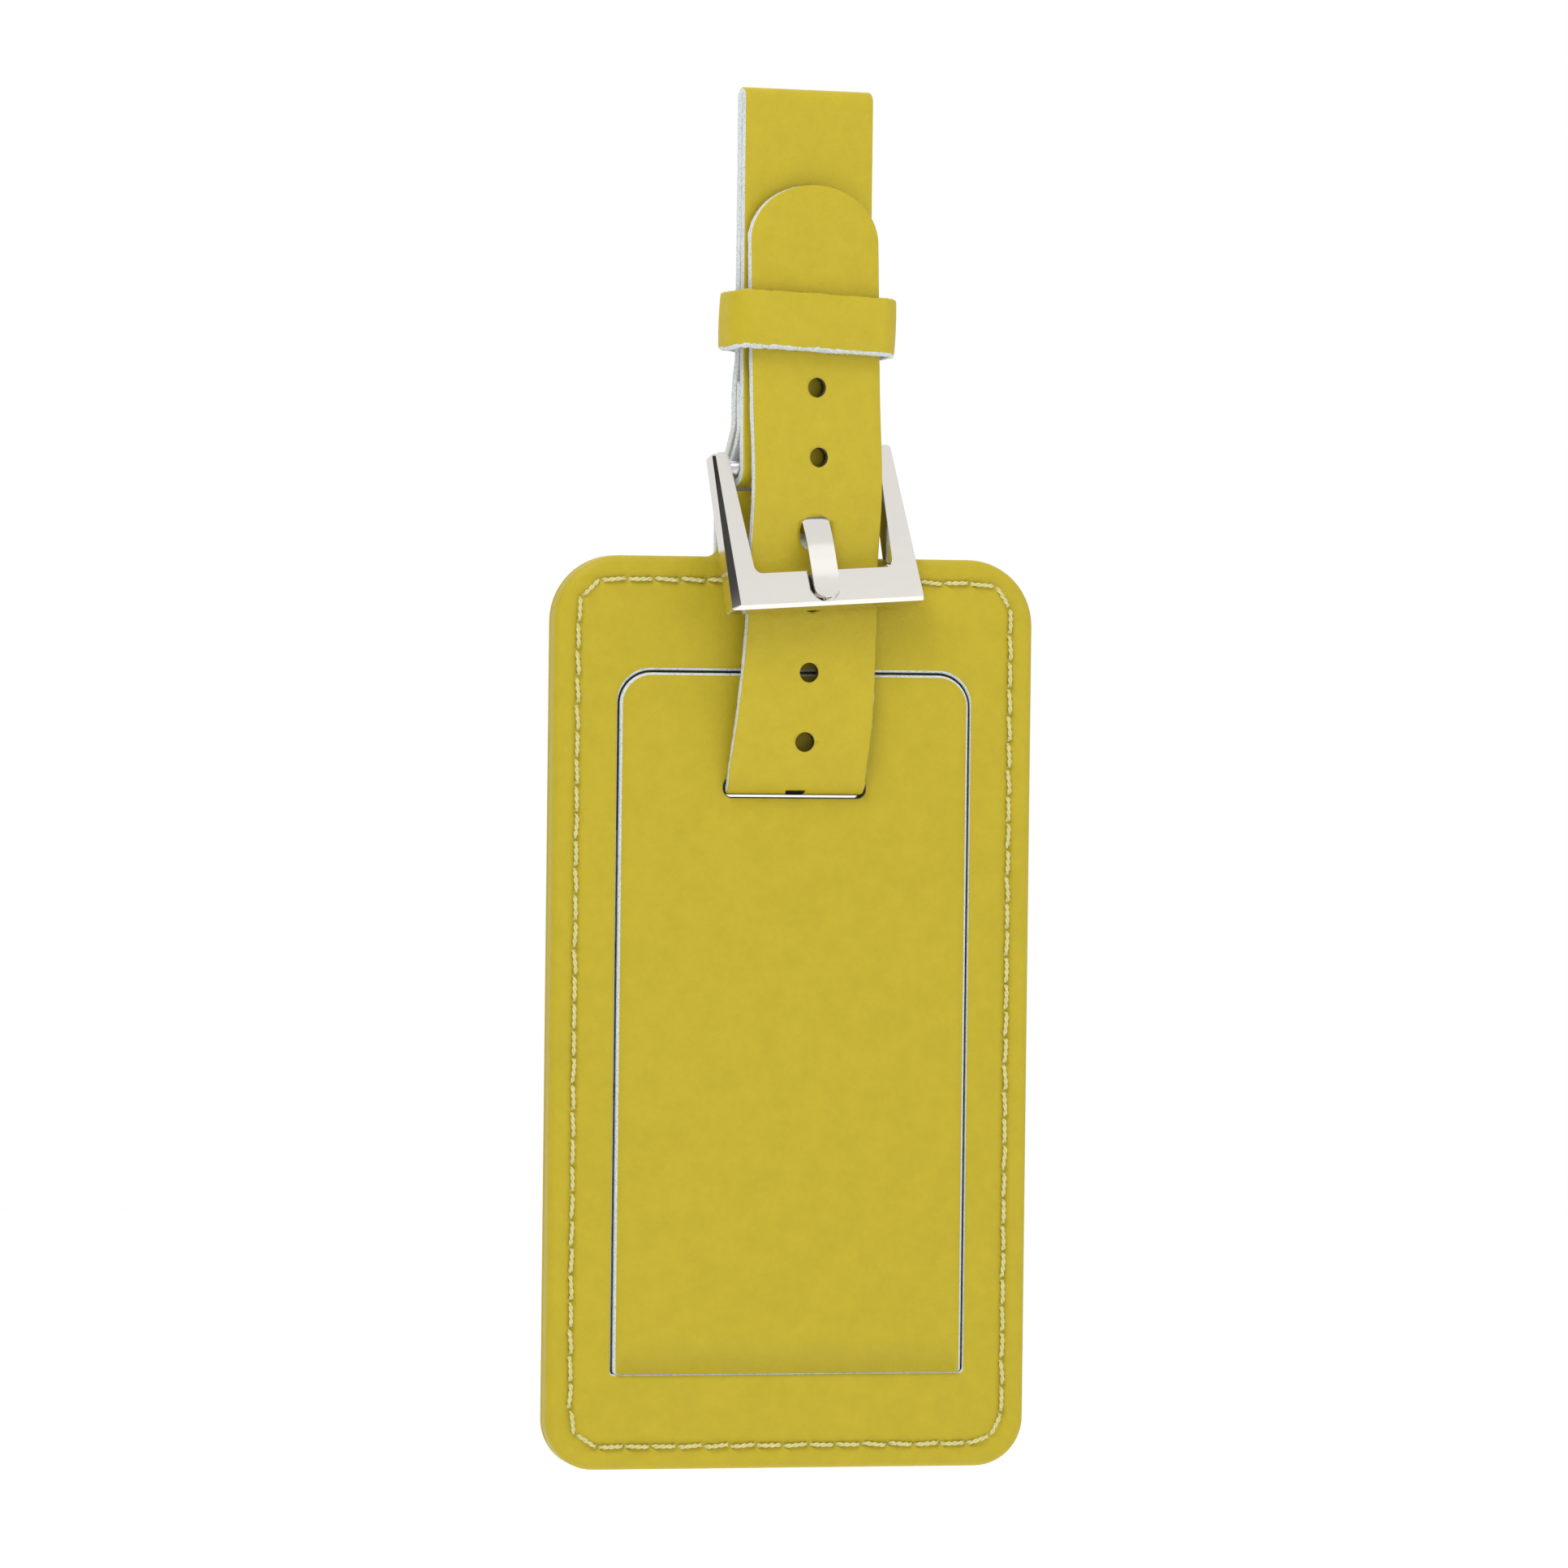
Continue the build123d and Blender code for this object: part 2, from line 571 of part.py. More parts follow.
def seam_thread(face_y, into):
    """One side of the perimeter seam; `into` is +1 from the front, -1 from the back."""
    depth = 1.6
    gap = 2 * THREAD_RADIUS + 0.08
    points = seam_points()
    stitches = []
    for here, after in zip(points, points[1:] + points[:1]):
        chord = Vector(after[0] - here[0], 0, after[1] - here[1])
        middle = ((here[0] + after[0]) / 2, face_y, (here[1] + after[1]) / 2)
        facing_in = Vector(0, into, 0)
        plane = Plane(middle, x_dir=chord, z_dir=chord.cross(facing_in))
        stitches.append(plane.location * staple_stitch(chord.length - gap, depth))
    return Compound(children=stitches)


def seam_thread_front():
    """Needle thread on the front face."""
    return seam_thread(TAG_FRONT_Y + SEAM_GROOVE_DEPTH, 1)


def seam_thread_back():
    """Bobbin thread on the back face."""
    return seam_thread(TAG_BACK_Y - SEAM_GROOVE_DEPTH, -1)


PARTS = [strap, turn_back_thread, keeper, keeper_thread, buckle_frame, heel_pin, prong,
         front_panel, privacy_flap, back_panel, stiffener_board, window_sheet, address_card,
         seam_thread_front, seam_thread_back]

os.makedirs("parts", exist_ok=True)
for build in PARTS:
    export_step(build(), f"parts/{build.__name__}.step")
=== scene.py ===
import random
from math import ceil, cos, hypot, pi, radians, sin, sqrt

import bmesh
import bpy
from mathutils import Matrix, Vector, noise


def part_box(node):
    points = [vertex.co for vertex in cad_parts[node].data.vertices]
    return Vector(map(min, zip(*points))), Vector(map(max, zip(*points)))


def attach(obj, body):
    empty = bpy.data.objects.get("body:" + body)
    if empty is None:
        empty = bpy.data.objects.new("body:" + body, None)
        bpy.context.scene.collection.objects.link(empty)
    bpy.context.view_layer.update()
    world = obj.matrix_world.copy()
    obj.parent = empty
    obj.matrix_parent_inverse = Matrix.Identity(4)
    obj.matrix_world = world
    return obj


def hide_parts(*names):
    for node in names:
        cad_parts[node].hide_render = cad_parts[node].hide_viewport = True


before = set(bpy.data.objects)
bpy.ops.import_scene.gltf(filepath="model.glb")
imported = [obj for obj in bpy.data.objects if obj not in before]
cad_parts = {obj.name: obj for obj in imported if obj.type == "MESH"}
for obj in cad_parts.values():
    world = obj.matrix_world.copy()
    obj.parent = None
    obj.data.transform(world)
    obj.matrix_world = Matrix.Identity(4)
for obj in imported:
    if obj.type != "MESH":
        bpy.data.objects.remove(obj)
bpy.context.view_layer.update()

# Lengths below are millimetres in the CAD's own frame; meshes are made in metres.
MM = 0.001
random.seed(7)

# ---------------------------------------------------------------- strap, as the CAD has it
STRAP_WIDTH = 16.4
STRAP_THICK = 1.15
SKIVED_THICK = 0.7
SKIVED_Y = 0.17
FOLD_CENTRE_Z = -0.075
FOLD_MID_RADIUS = 0.65
LOOP_YAW = 12.0
TIP_TOP_Z = -10.1
TIP_ROUND_HEIGHT = 6.6
PUNCH_RADIUS = 1.15
LOOP_PUNCHES = [(0.4, -33.6), (0.65, -41.7)]
LOWER_PUNCHES = [(1.05, -1.0, -58.5), (0.9, -1.1, -66.7), (0.6, -0.65, -74.8)]
BIGHT_PUNCH = (0.0, 1.7, -80.4)
BIGHT_PUNCH_TILT = 20.0
HEEL_SHIFT = 0.1
HEEL_Y = 0.75
HEEL_Z = -42.6
HEEL_FOLD_RADIUS = 1.16
BUCKLE_SHIFT = 0.48
BUCKLE_ROLL = 3.5
BUCKLE_TILT = 17.6
PRONG_SHIFT = -0.3
PRONG_CROSSING = (-3.4, -6.9)
PRONG_CROSSING_LEAN = 27.0
PRONG_HALF = 1.7
PRONG_PATH = [(-1.5, 0.0), (-1.6, -2.0), (-2.1, -4.4), (-3.25, -6.6), (-4.1, -8.6),
              (-4.7, -10.6), (-5.36, -13.0), (-6.16, -15.5)]
PIN_RADIUS = 0.9
PIN_HALF = 11.4
FRAME_DEPTH = 2.2
FRAME_HALF_TOP, FRAME_HALF_BOTTOM = 11.5, 12.35
FRAME_TOP, FRAME_BOTTOM = 1.9, -17.3
OPENING_HALF_TOP, OPENING_HALF_BOTTOM = 9.5, 8.75
OPENING_BOTTOM = -13.0
GROOVE_HALF = 1.9
GROOVE_DEPTH = 0.55
GROOVE_BOTTOM, GROOVE_TOP = -16.95, -12.0
KEEPER_SHIFT = 0.2
KEEPER_MIDDLE_Y = -1.0
KEEPER_MIDDLE_Z = -26.0
KEEPER_ROLL = 2.0
KEEPER_WIDTH, KEEPER_DEPTH = 18.9, 5.0
KEEPER_WALL = 1.2
KEEPER_HEIGHT = 6.8

# ---------------------------------------------------------------- tag, read from the frame
TAG_LOW, TAG_HIGH = (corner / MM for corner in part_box("front_panel"))
BACK_LOW, BACK_HIGH = (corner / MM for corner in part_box("back_panel"))
FLAP_LOW, FLAP_HIGH = (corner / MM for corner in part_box("privacy_flap"))
TAG_HALF = TAG_HIGH.x
TAG_TOP, TAG_BOTTOM = TAG_HIGH.z, TAG_LOW.z
FRONT_Y, HEM_BACK_Y = TAG_LOW.y, TAG_HIGH.y
BACK_Y = BACK_HIGH.y
LEATHER = 1.2
TOP_CORNER = 7.75
BOTTOM_CORNER = 5.75
SEAM_INSET = 2.75
SEAM_CORNER = 3.4
STITCH_PITCH = 3.15
FLAP_CORNER = 3.7
FLAP_CUT = 0.3
SLOT_HALF = 8.45
SLOT_TOP, SLOT_BOTTOM = -79.1, -81.3
# insets of the closely spaced loops on both sides of the seam
SEAM_BAND = (4.2, 3.7, 3.4, 3.1, 2.9, 2.75, 2.6, 2.4, 2.1, 1.8)


# ================================================================ materials
def shader(name, colour, roughness, metallic=0.0):
    """A new material and its Principled node."""
    material = bpy.data.materials.new(name)
    material.use_nodes = True
    node = material.node_tree.nodes["Principled BSDF"]
    node.inputs["Base Color"].default_value = (*colour, 1.0)
    node.inputs["Roughness"].default_value = roughness
    node.inputs["Metallic"].default_value = metallic
    return material, node


def add_node(material, kind, **values):
    """A node with its settings or unlinked inputs filled in by name."""
    node = material.node_tree.nodes.new(kind)
    for key, value in values.items():
        if key in node.inputs:
            node.inputs[key].default_value = value
        else:
            setattr(node, key, value)
    return node


def object_noise(material, scale, detail=3.0, roughness=0.55):
    """Noise fixed to the object's own coordinates; scale is per metre."""
    place = add_node(material, "ShaderNodeTexCoord")
    texture = add_node(material, "ShaderNodeTexNoise", Scale=scale, Detail=detail, Roughness=roughness)
    material.node_tree.links.new(place.outputs["Object"], texture.inputs["Vector"])
    return texture.outputs["Fac"]


def object_cells(material, scale):
    """Voronoi distance fixed to the object's own coordinates."""
    place = add_node(material, "ShaderNodeTexCoord")
    texture = add_node(material, "ShaderNodeTexVoronoi", Scale=scale)
    material.node_tree.links.new(place.outputs["Object"], texture.inputs["Vector"])
    return texture.outputs["Distance"]


def colour_ramp(material, factor, stops):
    """Colour ramp fed by factor; stops are (position, colour)."""
    ramp = add_node(material, "ShaderNodeValToRGB")
    elements = ramp.color_ramp.elements
    while len(elements) < len(stops):
        elements.new(0.5)
    for element, (position, colour) in zip(elements, stops):
        element.position = position
        element.color = (*colour, 1.0)
    material.node_tree.links.new(factor, ramp.inputs["Fac"])
    return ramp.outputs["Color"]


def add_bump(material, shader_node, height, strength, distance, below=None):
    """Bump from a height, on top of another bump if given."""
    bump = add_node(material, "ShaderNodeBump", Strength=strength, Distance=distance)
    material.node_tree.links.new(height, bump.inputs["Height"])
    if below is not None:
        material.node_tree.links.new(below, bump.inputs["Normal"])
    material.node_tree.links.new(bump.outputs["Normal"], shader_node.inputs["Normal"])
    return bump.outputs["Normal"]


def grain_leather(name, colour):
    """Matt pigmented leather: fine pebble grain and faint cloudiness."""
    material, node = shader(name, colour, 0.56)
    node.inputs["Specular IOR Level"].default_value = 0.36
    cloud = object_noise(material, 420.0, 6.0, 0.7)
    darker = tuple(c * 0.95 for c in colour)
    lighter = tuple(min(1.0, c * 1.04) for c in colour)
    mixed = colour_ramp(material, cloud, [(0.3, darker), (0.7, lighter)])
    material.node_tree.links.new(mixed, node.inputs["Base Color"])
    pebbles = add_bump(material, node, object_cells(material, 2100.0), 0.22, 0.00012)
    add_bump(material, node, object_noise(material, 900.0, 5.0), 0.16, 0.0002, pebbles)
    return material


def cut_leather(name, light, dark):
    """Raw leather of cut edges and flesh sides: speckled fibres. Also used, in near-black colours, as
    painted shade on hole and slot walls.
    """
    material, node = shader(name, light, 0.9)
    node.inputs["Specular IOR Level"].default_value = 0.15
    fibres = object_noise(material, 4200.0, 6.0, 0.75)
    mixed = colour_ramp(material, fibres, [(0.36, dark), (0.5, light)])
    material.node_tree.links.new(mixed, node.inputs["Base Color"])
    add_bump(material, node, fibres, 0.7, 0.0003)
    return material


def twisted_thread():
    """Waxed pale yellow thread."""
    material, node = shader("thread", (0.62, 0.58, 0.22), 0.62)
    node.inputs["Sheen Weight"].default_value = 0.2
    fibres = object_noise(material, 9000.0, 4.0)
    mixed = colour_ramp(material, fibres, [(0.35, (0.46, 0.42, 0.12)), (0.65, (0.72, 0.68, 0.32))])
    material.node_tree.links.new(mixed, node.inputs["Base Color"])
    add_bump(material, node, fibres, 0.4, 0.0001)
    return material


def polished_nickel():
    """Nickel plate with the faintest unevenness."""
    material, node = shader("nickel", (0.78, 0.75, 0.7), 0.13, 1.0)
    add_bump(material, node, object_noise(material, 260.0, 2.0), 0.05, 0.0003)
    return material


def steel_wire():
    """Plain drawn steel for the hidden pin."""
    material, node = shader("steel", (0.56, 0.56, 0.57), 0.32, 1.0)
    add_bump(material, node, object_noise(material, 1500.0, 2.0), 0.12, 0.0002)
    return material


def ruled_card():
    """Paper card with pale writing lines."""
    paper = (0.86, 0.85, 0.8)
    line = (0.45, 0.46, 0.5)
    material, node = shader("card", paper, 0.85)
    place = add_node(material, "ShaderNodeTexCoord")
    lines = add_node(material, "ShaderNodeTexWave", Scale=19.0, bands_direction="Z")
    material.node_tree.links.new(place.outputs["Object"], lines.inputs["Vector"])
    mixed = colour_ramp(material, lines.outputs["Fac"], [(0.02, line), (0.05, paper)])
    material.node_tree.links.new(mixed, node.inputs["Base Color"])
    return material


def fibre_board():
    """Grey-brown stiffener board."""
    material, node = shader("board", (0.42, 0.37, 0.28), 0.9)
    fibres = object_noise(material, 1600.0, 5.0)
    mixed = colour_ramp(material, fibres, [(0.35, (0.3, 0.26, 0.2)), (0.65, (0.46, 0.41, 0.32))])
    material.node_tree.links.new(mixed, node.inputs["Base Color"])
    return material


def clear_sheet():
    """Clear flexible plastic."""
    material, node = shader("clear_sheet", (0.95, 0.97, 0.98), 0.08)
    node.inputs["Transmission Weight"].default_value = 0.9
    node.inputs["Alpha"].default_value = 0.35
    add_bump(material, node, object_noise(material, 60.0, 2.0), 0.08, 0.0006)
    return material


def pale_floor():
    """Plain pale studio floor."""
    material, node = shader("floor", (0.94, 0.94, 0.94), 0.85)
    node.inputs["Specular IOR Level"].default_value = 0.1
    node.inputs["Emission Color"].default_value = (1.0, 1.0, 1.0, 1.0)
    node.inputs["Emission Strength"].default_value = 0.25
    return material


TAG_GRAIN = grain_leather("tag_grain", (0.438, 0.342, 0.009))
STRAP_GRAIN = grain_leather("strap_grain", (0.462, 0.36, 0.011))
CUT_EDGE = cut_leather("cut_edge", (0.74, 0.78, 0.77), (0.4, 0.44, 0.44))
FLESH = cut_leather("flesh", (0.6, 0.61, 0.58), (0.42, 0.43, 0.4))
# near-black cut leather: painted shade inside the punched holes and the flap's slot, whose real cut walls
# are pale
PAINTED_HOLE_SHADE = cut_leather("hole_wall_painted_shade", (0.1, 0.09, 0.045), (0.03, 0.028, 0.015))
THREAD = twisted_thread()
NICKEL = polished_nickel()
STEEL = steel_wire()

# every leather piece carries these four, in this order; the fourth is near-black painted shade for hole
# and slot walls
GRAIN, RAW, SUEDE, HOLE_SHADE = range(4)
TAG_LEATHERS = [TAG_GRAIN, CUT_EDGE, FLESH, PAINTED_HOLE_SHADE]


# ================================================================ mesh helpers
def make_object(name, points, faces, materials, indices=None):
    """Mesh object from points in millimetres."""
    mesh = bpy.data.meshes.new(name)
    mesh.from_pydata([Vector(p) * MM for p in points], [], faces)
    for material in materials:
        mesh.materials.append(material)
    if indices is not None:
        mesh.polygons.foreach_set("material_index", indices)
    mesh.polygons.foreach_set("use_smooth", [True] * len(mesh.polygons))
    mesh.validate()
    mesh.update()
    obj = bpy.data.objects.new(name, mesh)
    bpy.context.scene.collection.objects.link(obj)
    return obj


def finish_piece(obj, body, slot, *nodes):
    """Join a piece to its CAD body and hide the CAD nodes it stands for; the colour slot argument is not
    used.
    """
    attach(obj, body)
    if nodes:
        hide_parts(*nodes)
    return obj


def loft_grid(rings, closed_rows=False):
    """Faces joining consecutive rings of equal length, with each face's (row, column)."""
    count = len(rings[0])
    rows = len(rings) if closed_rows else len(rings) - 1
    faces = []
    places = []
    for r in range(rows):
        low = r * count
        high = ((r + 1) % len(rings)) * count
        for c in range(count):
            after = (c + 1) % count
            faces.append((low + c, low + after, high + after, high + c))
            places.append((r, c))
    return faces, places


def recalculate(obj, merge=True):
    """Make the normals point outwards, after merging points that coincide if asked."""
    tidy = bmesh.new()
    tidy.from_mesh(obj.data)
    if merge:
        bmesh.ops.remove_doubles(tidy, verts=tidy.verts, dist=1e-6)
    bmesh.ops.recalc_face_normals(tidy, faces=tidy.faces)
    tidy.to_mesh(obj.data)
    tidy.free()


def apply_modifiers(obj):
    """Bake the modifiers into the mesh."""
    graph = bpy.context.evaluated_depsgraph_get()
    mesh = bpy.data.meshes.new_from_object(obj.evaluated_get(graph))
    obj.modifiers.clear()
    obj.data = mesh
    return obj


def cut_with(obj, cutters):
    """Take the cutters away from obj and remove them."""
    for cutter in cutters:
        modifier = obj.modifiers.new("cut", "BOOLEAN")
        modifier.operation = "DIFFERENCE"
        modifier.solver = "EXACT"
        modifier.material_mode = "TRANSFER"
        modifier.object = cutter
    apply_modifiers(obj)
    for cutter in cutters:
        bpy.data.objects.remove(cutter)
    return obj


def prism(name, outline, depth, matrix, material):
    """Straight prism of a closed outline in its local XY, centred along local Z."""
    count = len(outline)
    points = []
    for side in (-depth / 2, depth / 2):
        points += [matrix @ Vector((x, y, side)) for x, y in outline]
    faces, _ = loft_grid([outline, outline])
    faces += [tuple(reversed(range(count))), tuple(range(count, 2 * count))]
    obj = make_object(name, points, faces, [material])
    recalculate(obj, merge=False)
    return obj


def run_lengths(places):
    """Distance along a route at each of its places."""
    lengths = [0.0]
    for here, after in zip(places, places[1:]):
        lengths.append(lengths[-1] + (Vector(after[:3]) - Vector(here[:3])).length)
    return lengths


def wobble(point, per_mm, amount, seed=0.0):
    """Smooth signed noise at a point in millimetres."""
    return amount * noise.noise(Vector(point) * per_mm + Vector((seed, seed * 1.7, -seed)))


# ================================================================ frames of the strap
LOOP = Matrix.Rotation(radians(LOOP_YAW), 4, "Z")
AT_BUCKLE = (LOOP @ Matrix.Translation((BUCKLE_SHIFT, HEEL_Y, HEEL_Z))
             @ Matrix.Rotation(radians(-BUCKLE_ROLL), 4, "Y"))
TILTED = AT_BUCKLE @ Matrix.Rotation(radians(-BUCKLE_TILT), 4, "X")
AT_KEEPER = (LOOP @ Matrix.Translation((KEEPER_SHIFT, KEEPER_MIDDLE_Y, KEEPER_MIDDLE_Z))
             @ Matrix.Rotation(radians(KEEPER_ROLL), 4, "Y"))


def loop_station(shift, y, z, roll=0.0, thick=STRAP_THICK, yaw=LOOP_YAW):
    """Strap station in the loop: centre, yaw and roll of its width, thickness."""
    return [*(LOOP @ Vector((shift, y, z))), yaw, roll, thick]


def tag_station(x, y, z, yaw=0.0):
    """Strap station in the tag's own axes."""
    return [x, y, z, yaw, 0.0, STRAP_THICK]


def blend_rows(before, start, end, after, t):
    """Catmull-Rom value between two stations, every number alike."""
    row = []
    for a, b, c, d in zip(before, start, end, after):
        row.append(0.5 * (2 * b + (c - a) * t + (2 * a - 5 * b + 4 * c - d) * t ** 2
                          + (3 * b - a - 3 * c + d) * t ** 3))
    return row


def smoothed(stations, step):
    """Stations filled in with a smooth curve at about `step` millimetres."""
    rows = []
    for k in range(len(stations) - 1):
        before = stations[max(k - 1, 0)]
        after = stations[min(k + 2, len(stations) - 1)]
        gap = (Vector(stations[k + 1][:3]) - Vector(stations[k][:3])).length
        count = max(1, ceil(gap / step))
        for part in range(count):
            rows.append(blend_rows(before, stations[k], stations[k + 1], after, part / count))
    rows.append(stations[-1])
    return rows


def heel_stations():
    """The skived end turned back round the heel pin."""
    start_angle = 31.4
    sweep = 211.4
    steps = 20
    rows = [loop_station(HEEL_SHIFT, SKIVED_Y, z, roll, SKIVED_THICK)
            for z, roll in ((-33.0, 0.0), (-35.6, 0.9), (-38.4, 2.3))]
    for k in range(steps + 1):
        thick = SKIVED_THICK + (STRAP_THICK - SKIVED_THICK) * k / steps
        radius = HEEL_FOLD_RADIUS + thick / 2
        angle = radians(start_angle - sweep * k / steps)
        rows.append(loop_station(HEEL_SHIFT, HEEL_Y + radius * cos(angle),
                                 HEEL_Z + radius * sin(angle), BUCKLE_ROLL, thick))
    return rows


def top_fold_stations():
    """The tight fold at the top of the loop."""
    steps = 14
    rows = []
    for k in range(steps + 1):
        angle = pi * (1 - k / steps)
        rows.append(loop_station(HEEL_SHIFT, FOLD_MID_RADIUS * cos(angle),
                                 FOLD_CENTRE_Z + FOLD_MID_RADIUS * sin(angle)))
    return rows


def strap_rows():
    """The strap's middle line from the turned-back end to the tip."""
    front_leg = [loop_station(HEEL_SHIFT, -0.93, -39.5, 2.6),
                 loop_station(HEEL_SHIFT, -0.86, -35.6, 0.9),
                 loop_station(HEEL_SHIFT, -0.81, -32.6),
                 loop_station(HEEL_SHIFT, -0.69, -28.0),
                 loop_station(HEEL_SHIFT, -FOLD_MID_RADIUS, -16.0)]
    back_leg = [loop_station(HEEL_SHIFT, FOLD_MID_RADIUS, -16.0),
                loop_station(HEEL_SHIFT, 0.68, -28.5),
                loop_station(HEEL_SHIFT, 0.78, -30.8),
                loop_station(0.12, 1.3, -32.5),
                loop_station(0.2, 1.7, -34.5),
                loop_station(0.25, 1.82, -36.6),
                loop_station(0.45, 2.4, -38.4),
                tag_station(0.0, 3.95, -40.1, 10.0),
                tag_station(0.05, 6.15, -42.1, 8.0),
                tag_station(0.1, 8.3, -44.1, 6.0),
                tag_station(0.1, 9.6, -46.8, 4.5),
                tag_station(0.1, 9.8, -50.4, 3.0),
                tag_station(0.0, 9.0, -58.0, 0.5),
                tag_station(0.0, 7.7, -68.0),
                tag_station(0.0, 7.05, -74.5)]
    bight = [tag_station(0.0, 6.9, -77.4), tag_station(0.0, 6.65, -79.0),
             tag_station(0.0, 5.9, -80.05), tag_station(0.0, 4.8, -80.45),
             tag_station(0.0, 3.6, -80.5), tag_station(0.0, 2.4, -80.45),
             tag_station(0.0, 1.45, -80.3), tag_station(0.0, 0.6, -79.6)]
    tip_leg = [tag_station(0.0, 0.0, -77.9), tag_station(0.3, -0.65, -74.8, 1.0),
               tag_station(0.7, -1.0, -70.0, 4.5), tag_station(1.0, -1.2, -64.5, 9.0),
               loop_station(1.0, -1.3, -59.0, yaw=11.0), loop_station(0.98, -1.43, -55.2),
               loop_station(0.88, -2.15, -51.0), loop_station(0.75, -2.9, -46.5),
               loop_station(0.65, -3.0, -42.0),
               loop_station(0.4, -2.8, -34.0), loop_station(0.25, -2.68, -25.0),
               loop_station(0.1, -2.52, -16.0), loop_station(0.1, -2.42, TIP_TOP_Z)]
    step = 0.55
    heel = heel_stations()
    rows = smoothed(heel[:4], step)[:-1] + heel[3:]
    rows += smoothed([heel[-1]] + front_leg + [top_fold_stations()[0]], step)[1:-1]
    rows += top_fold_stations()
    rows += smoothed([top_fold_stations()[-1]] + back_leg + bight + tip_leg, step)[1:]
    return rows


# ================================================================ strap
def strap_profile():
    """Closed section as (across, through, kind); +through is the grain side."""
    across_steps = 12
    grain_round = 0.24
    flesh_round = 0.1
    corner_steps = 3
    edge_steps = 3
    edge_height = 0.62
    half = STRAP_WIDTH / 2
    top = 0.5
    edge_top = top - 0.22
    grain_span = 2 * half - 2 * grain_round
    flesh_span = 2 * half - 2 * flesh_round
    corner = []
    for k in range(1, corner_steps + 1):
        angle = pi / 2 * (1 - k / corner_steps)
        corner.append((grain_round * (1 - cos(angle)), top - grain_round * (1 - sin(angle)) / STRAP_THICK,
                       "grain" if k < corner_steps else "edge"))
    points = [(-half + grain_round + grain_span * k / across_steps, top, "grain")
              for k in range(across_steps + 1)]
    points += [(half - inset, height, kind) for inset, height, kind in corner]
    points += [(half, edge_top - edge_height * k / edge_steps, "edge")
               for k in range(1, edge_steps + 1)]
    points.append((half - flesh_round, -top, "edge"))
    points += [(half - flesh_round - flesh_span * k / across_steps, -top, "flesh")
               for k in range(1, across_steps)]
    points.append((-half + flesh_round, -top, "flesh"))
    points += [(-half, edge_top - edge_height * k / edge_steps, "edge")
               for k in range(edge_steps, 0, -1)]
    points += [(-half + inset, height, kind) for inset, height, kind in reversed(corner)]
    return points


def strap_half_width(from_tip):
    """Half the strap's width at a distance from the tip, as a share of the full one."""
    if from_tip >= TIP_ROUND_HEIGHT:
        return 1.0
    rise = 1 - from_tip / TIP_ROUND_HEIGHT
    return max(0.05, sqrt(max(0.0, 1 - rise ** 2)))


def add_tip_rows(rows):
    """Closer rows towards the rounded tip."""
    before, last = rows[-2:]
    shares = (0.35, 0.6, 0.8, 0.92, 0.98)
    closer = [[a + (b - a) * share for a, b in zip(before, last)] for share in shares]
    return rows[:-1] + closer + [last]


def strap_points(rows, profile):
    """The section carried along the rows: narrowed at the tip, rough where it is raw."""
    lengths = run_lengths(rows)
    points = []
    for k, row in enumerate(rows):
        yaw, roll = radians(row[3]), radians(row[4])
        across = Vector((cos(yaw) * cos(roll), sin(yaw) * cos(roll), sin(roll)))
        before = Vector(rows[max(k - 1, 0)][:3])
        after = Vector(rows[min(k + 1, len(rows) - 1)][:3])
        through = across.cross(after - before).normalized()
        centre = Vector(row[:3])
        narrowing = strap_half_width(lengths[-1] - lengths[k])
        for s, t, kind in profile:
            place = centre + across * (s * narrowing) + through * (t * row[5])
            if kind == "edge":
                place += across * (wobble(place, 2.6, 0.09) + wobble(place, 0.5, 0.05, 3.0))
            elif kind == "flesh":
                place += through * wobble(place, 1.4, 0.03, 5.0)
            place += through * wobble(centre, 0.13, 0.05, 9.0)
            points.append(place)
    return points


def band_material(kind, next_kind):
    """Material of the band between two points of the strap's section."""
    if kind == next_kind == "grain":
        return GRAIN
    if kind == next_kind == "flesh":
        return SUEDE
    return RAW


def strap():
    """One strap: turned-back heel, front leg, fold, back leg, bight and tip leg."""
    rows = add_tip_rows(strap_rows())
    profile = strap_profile()
    kinds = [kind for _, _, kind in profile]
    faces, places = loft_grid([profile] * len(rows))
    indices = [band_material(kinds[column], kinds[(column + 1) % len(kinds)]) for _, column in places]
    count = len(profile)
    faces.append(tuple(range(count)))
    faces.append(tuple(reversed(range((len(rows) - 1) * count, len(rows) * count))))
    indices += [RAW, RAW]
    body = make_object("strap_leather", strap_points(rows, profile), faces,
                       [STRAP_GRAIN, CUT_EDGE, FLESH], indices)
    recalculate(body, merge=False)
    cut_with(body, strap_cutters())
    return finish_piece(body, "strap_loop", "strap_leather", "strap")


def circle(radius, count=28):
    """Closed circle in local XY."""
    return [(radius * cos(2 * pi * k / count), radius * sin(2 * pi * k / count)) for k in range(count)]


def rounded_box(width, height, radius, steps=6):
    """Closed rounded rectangle in local XY, anticlockwise."""
    points = []
    corners = [(1, 1, 0.0), (-1, 1, 90.0), (-1, -1, 180.0), (1, -1, 270.0)]
    for sx, sy, start in corners:
        for k in range(steps + 1):
            angle = radians(start + 90.0 * k / steps)
            points.append((sx * (width / 2 - radius) + radius * cos(angle),
                           sy * (height / 2 - radius) + radius * sin(angle)))
    return points


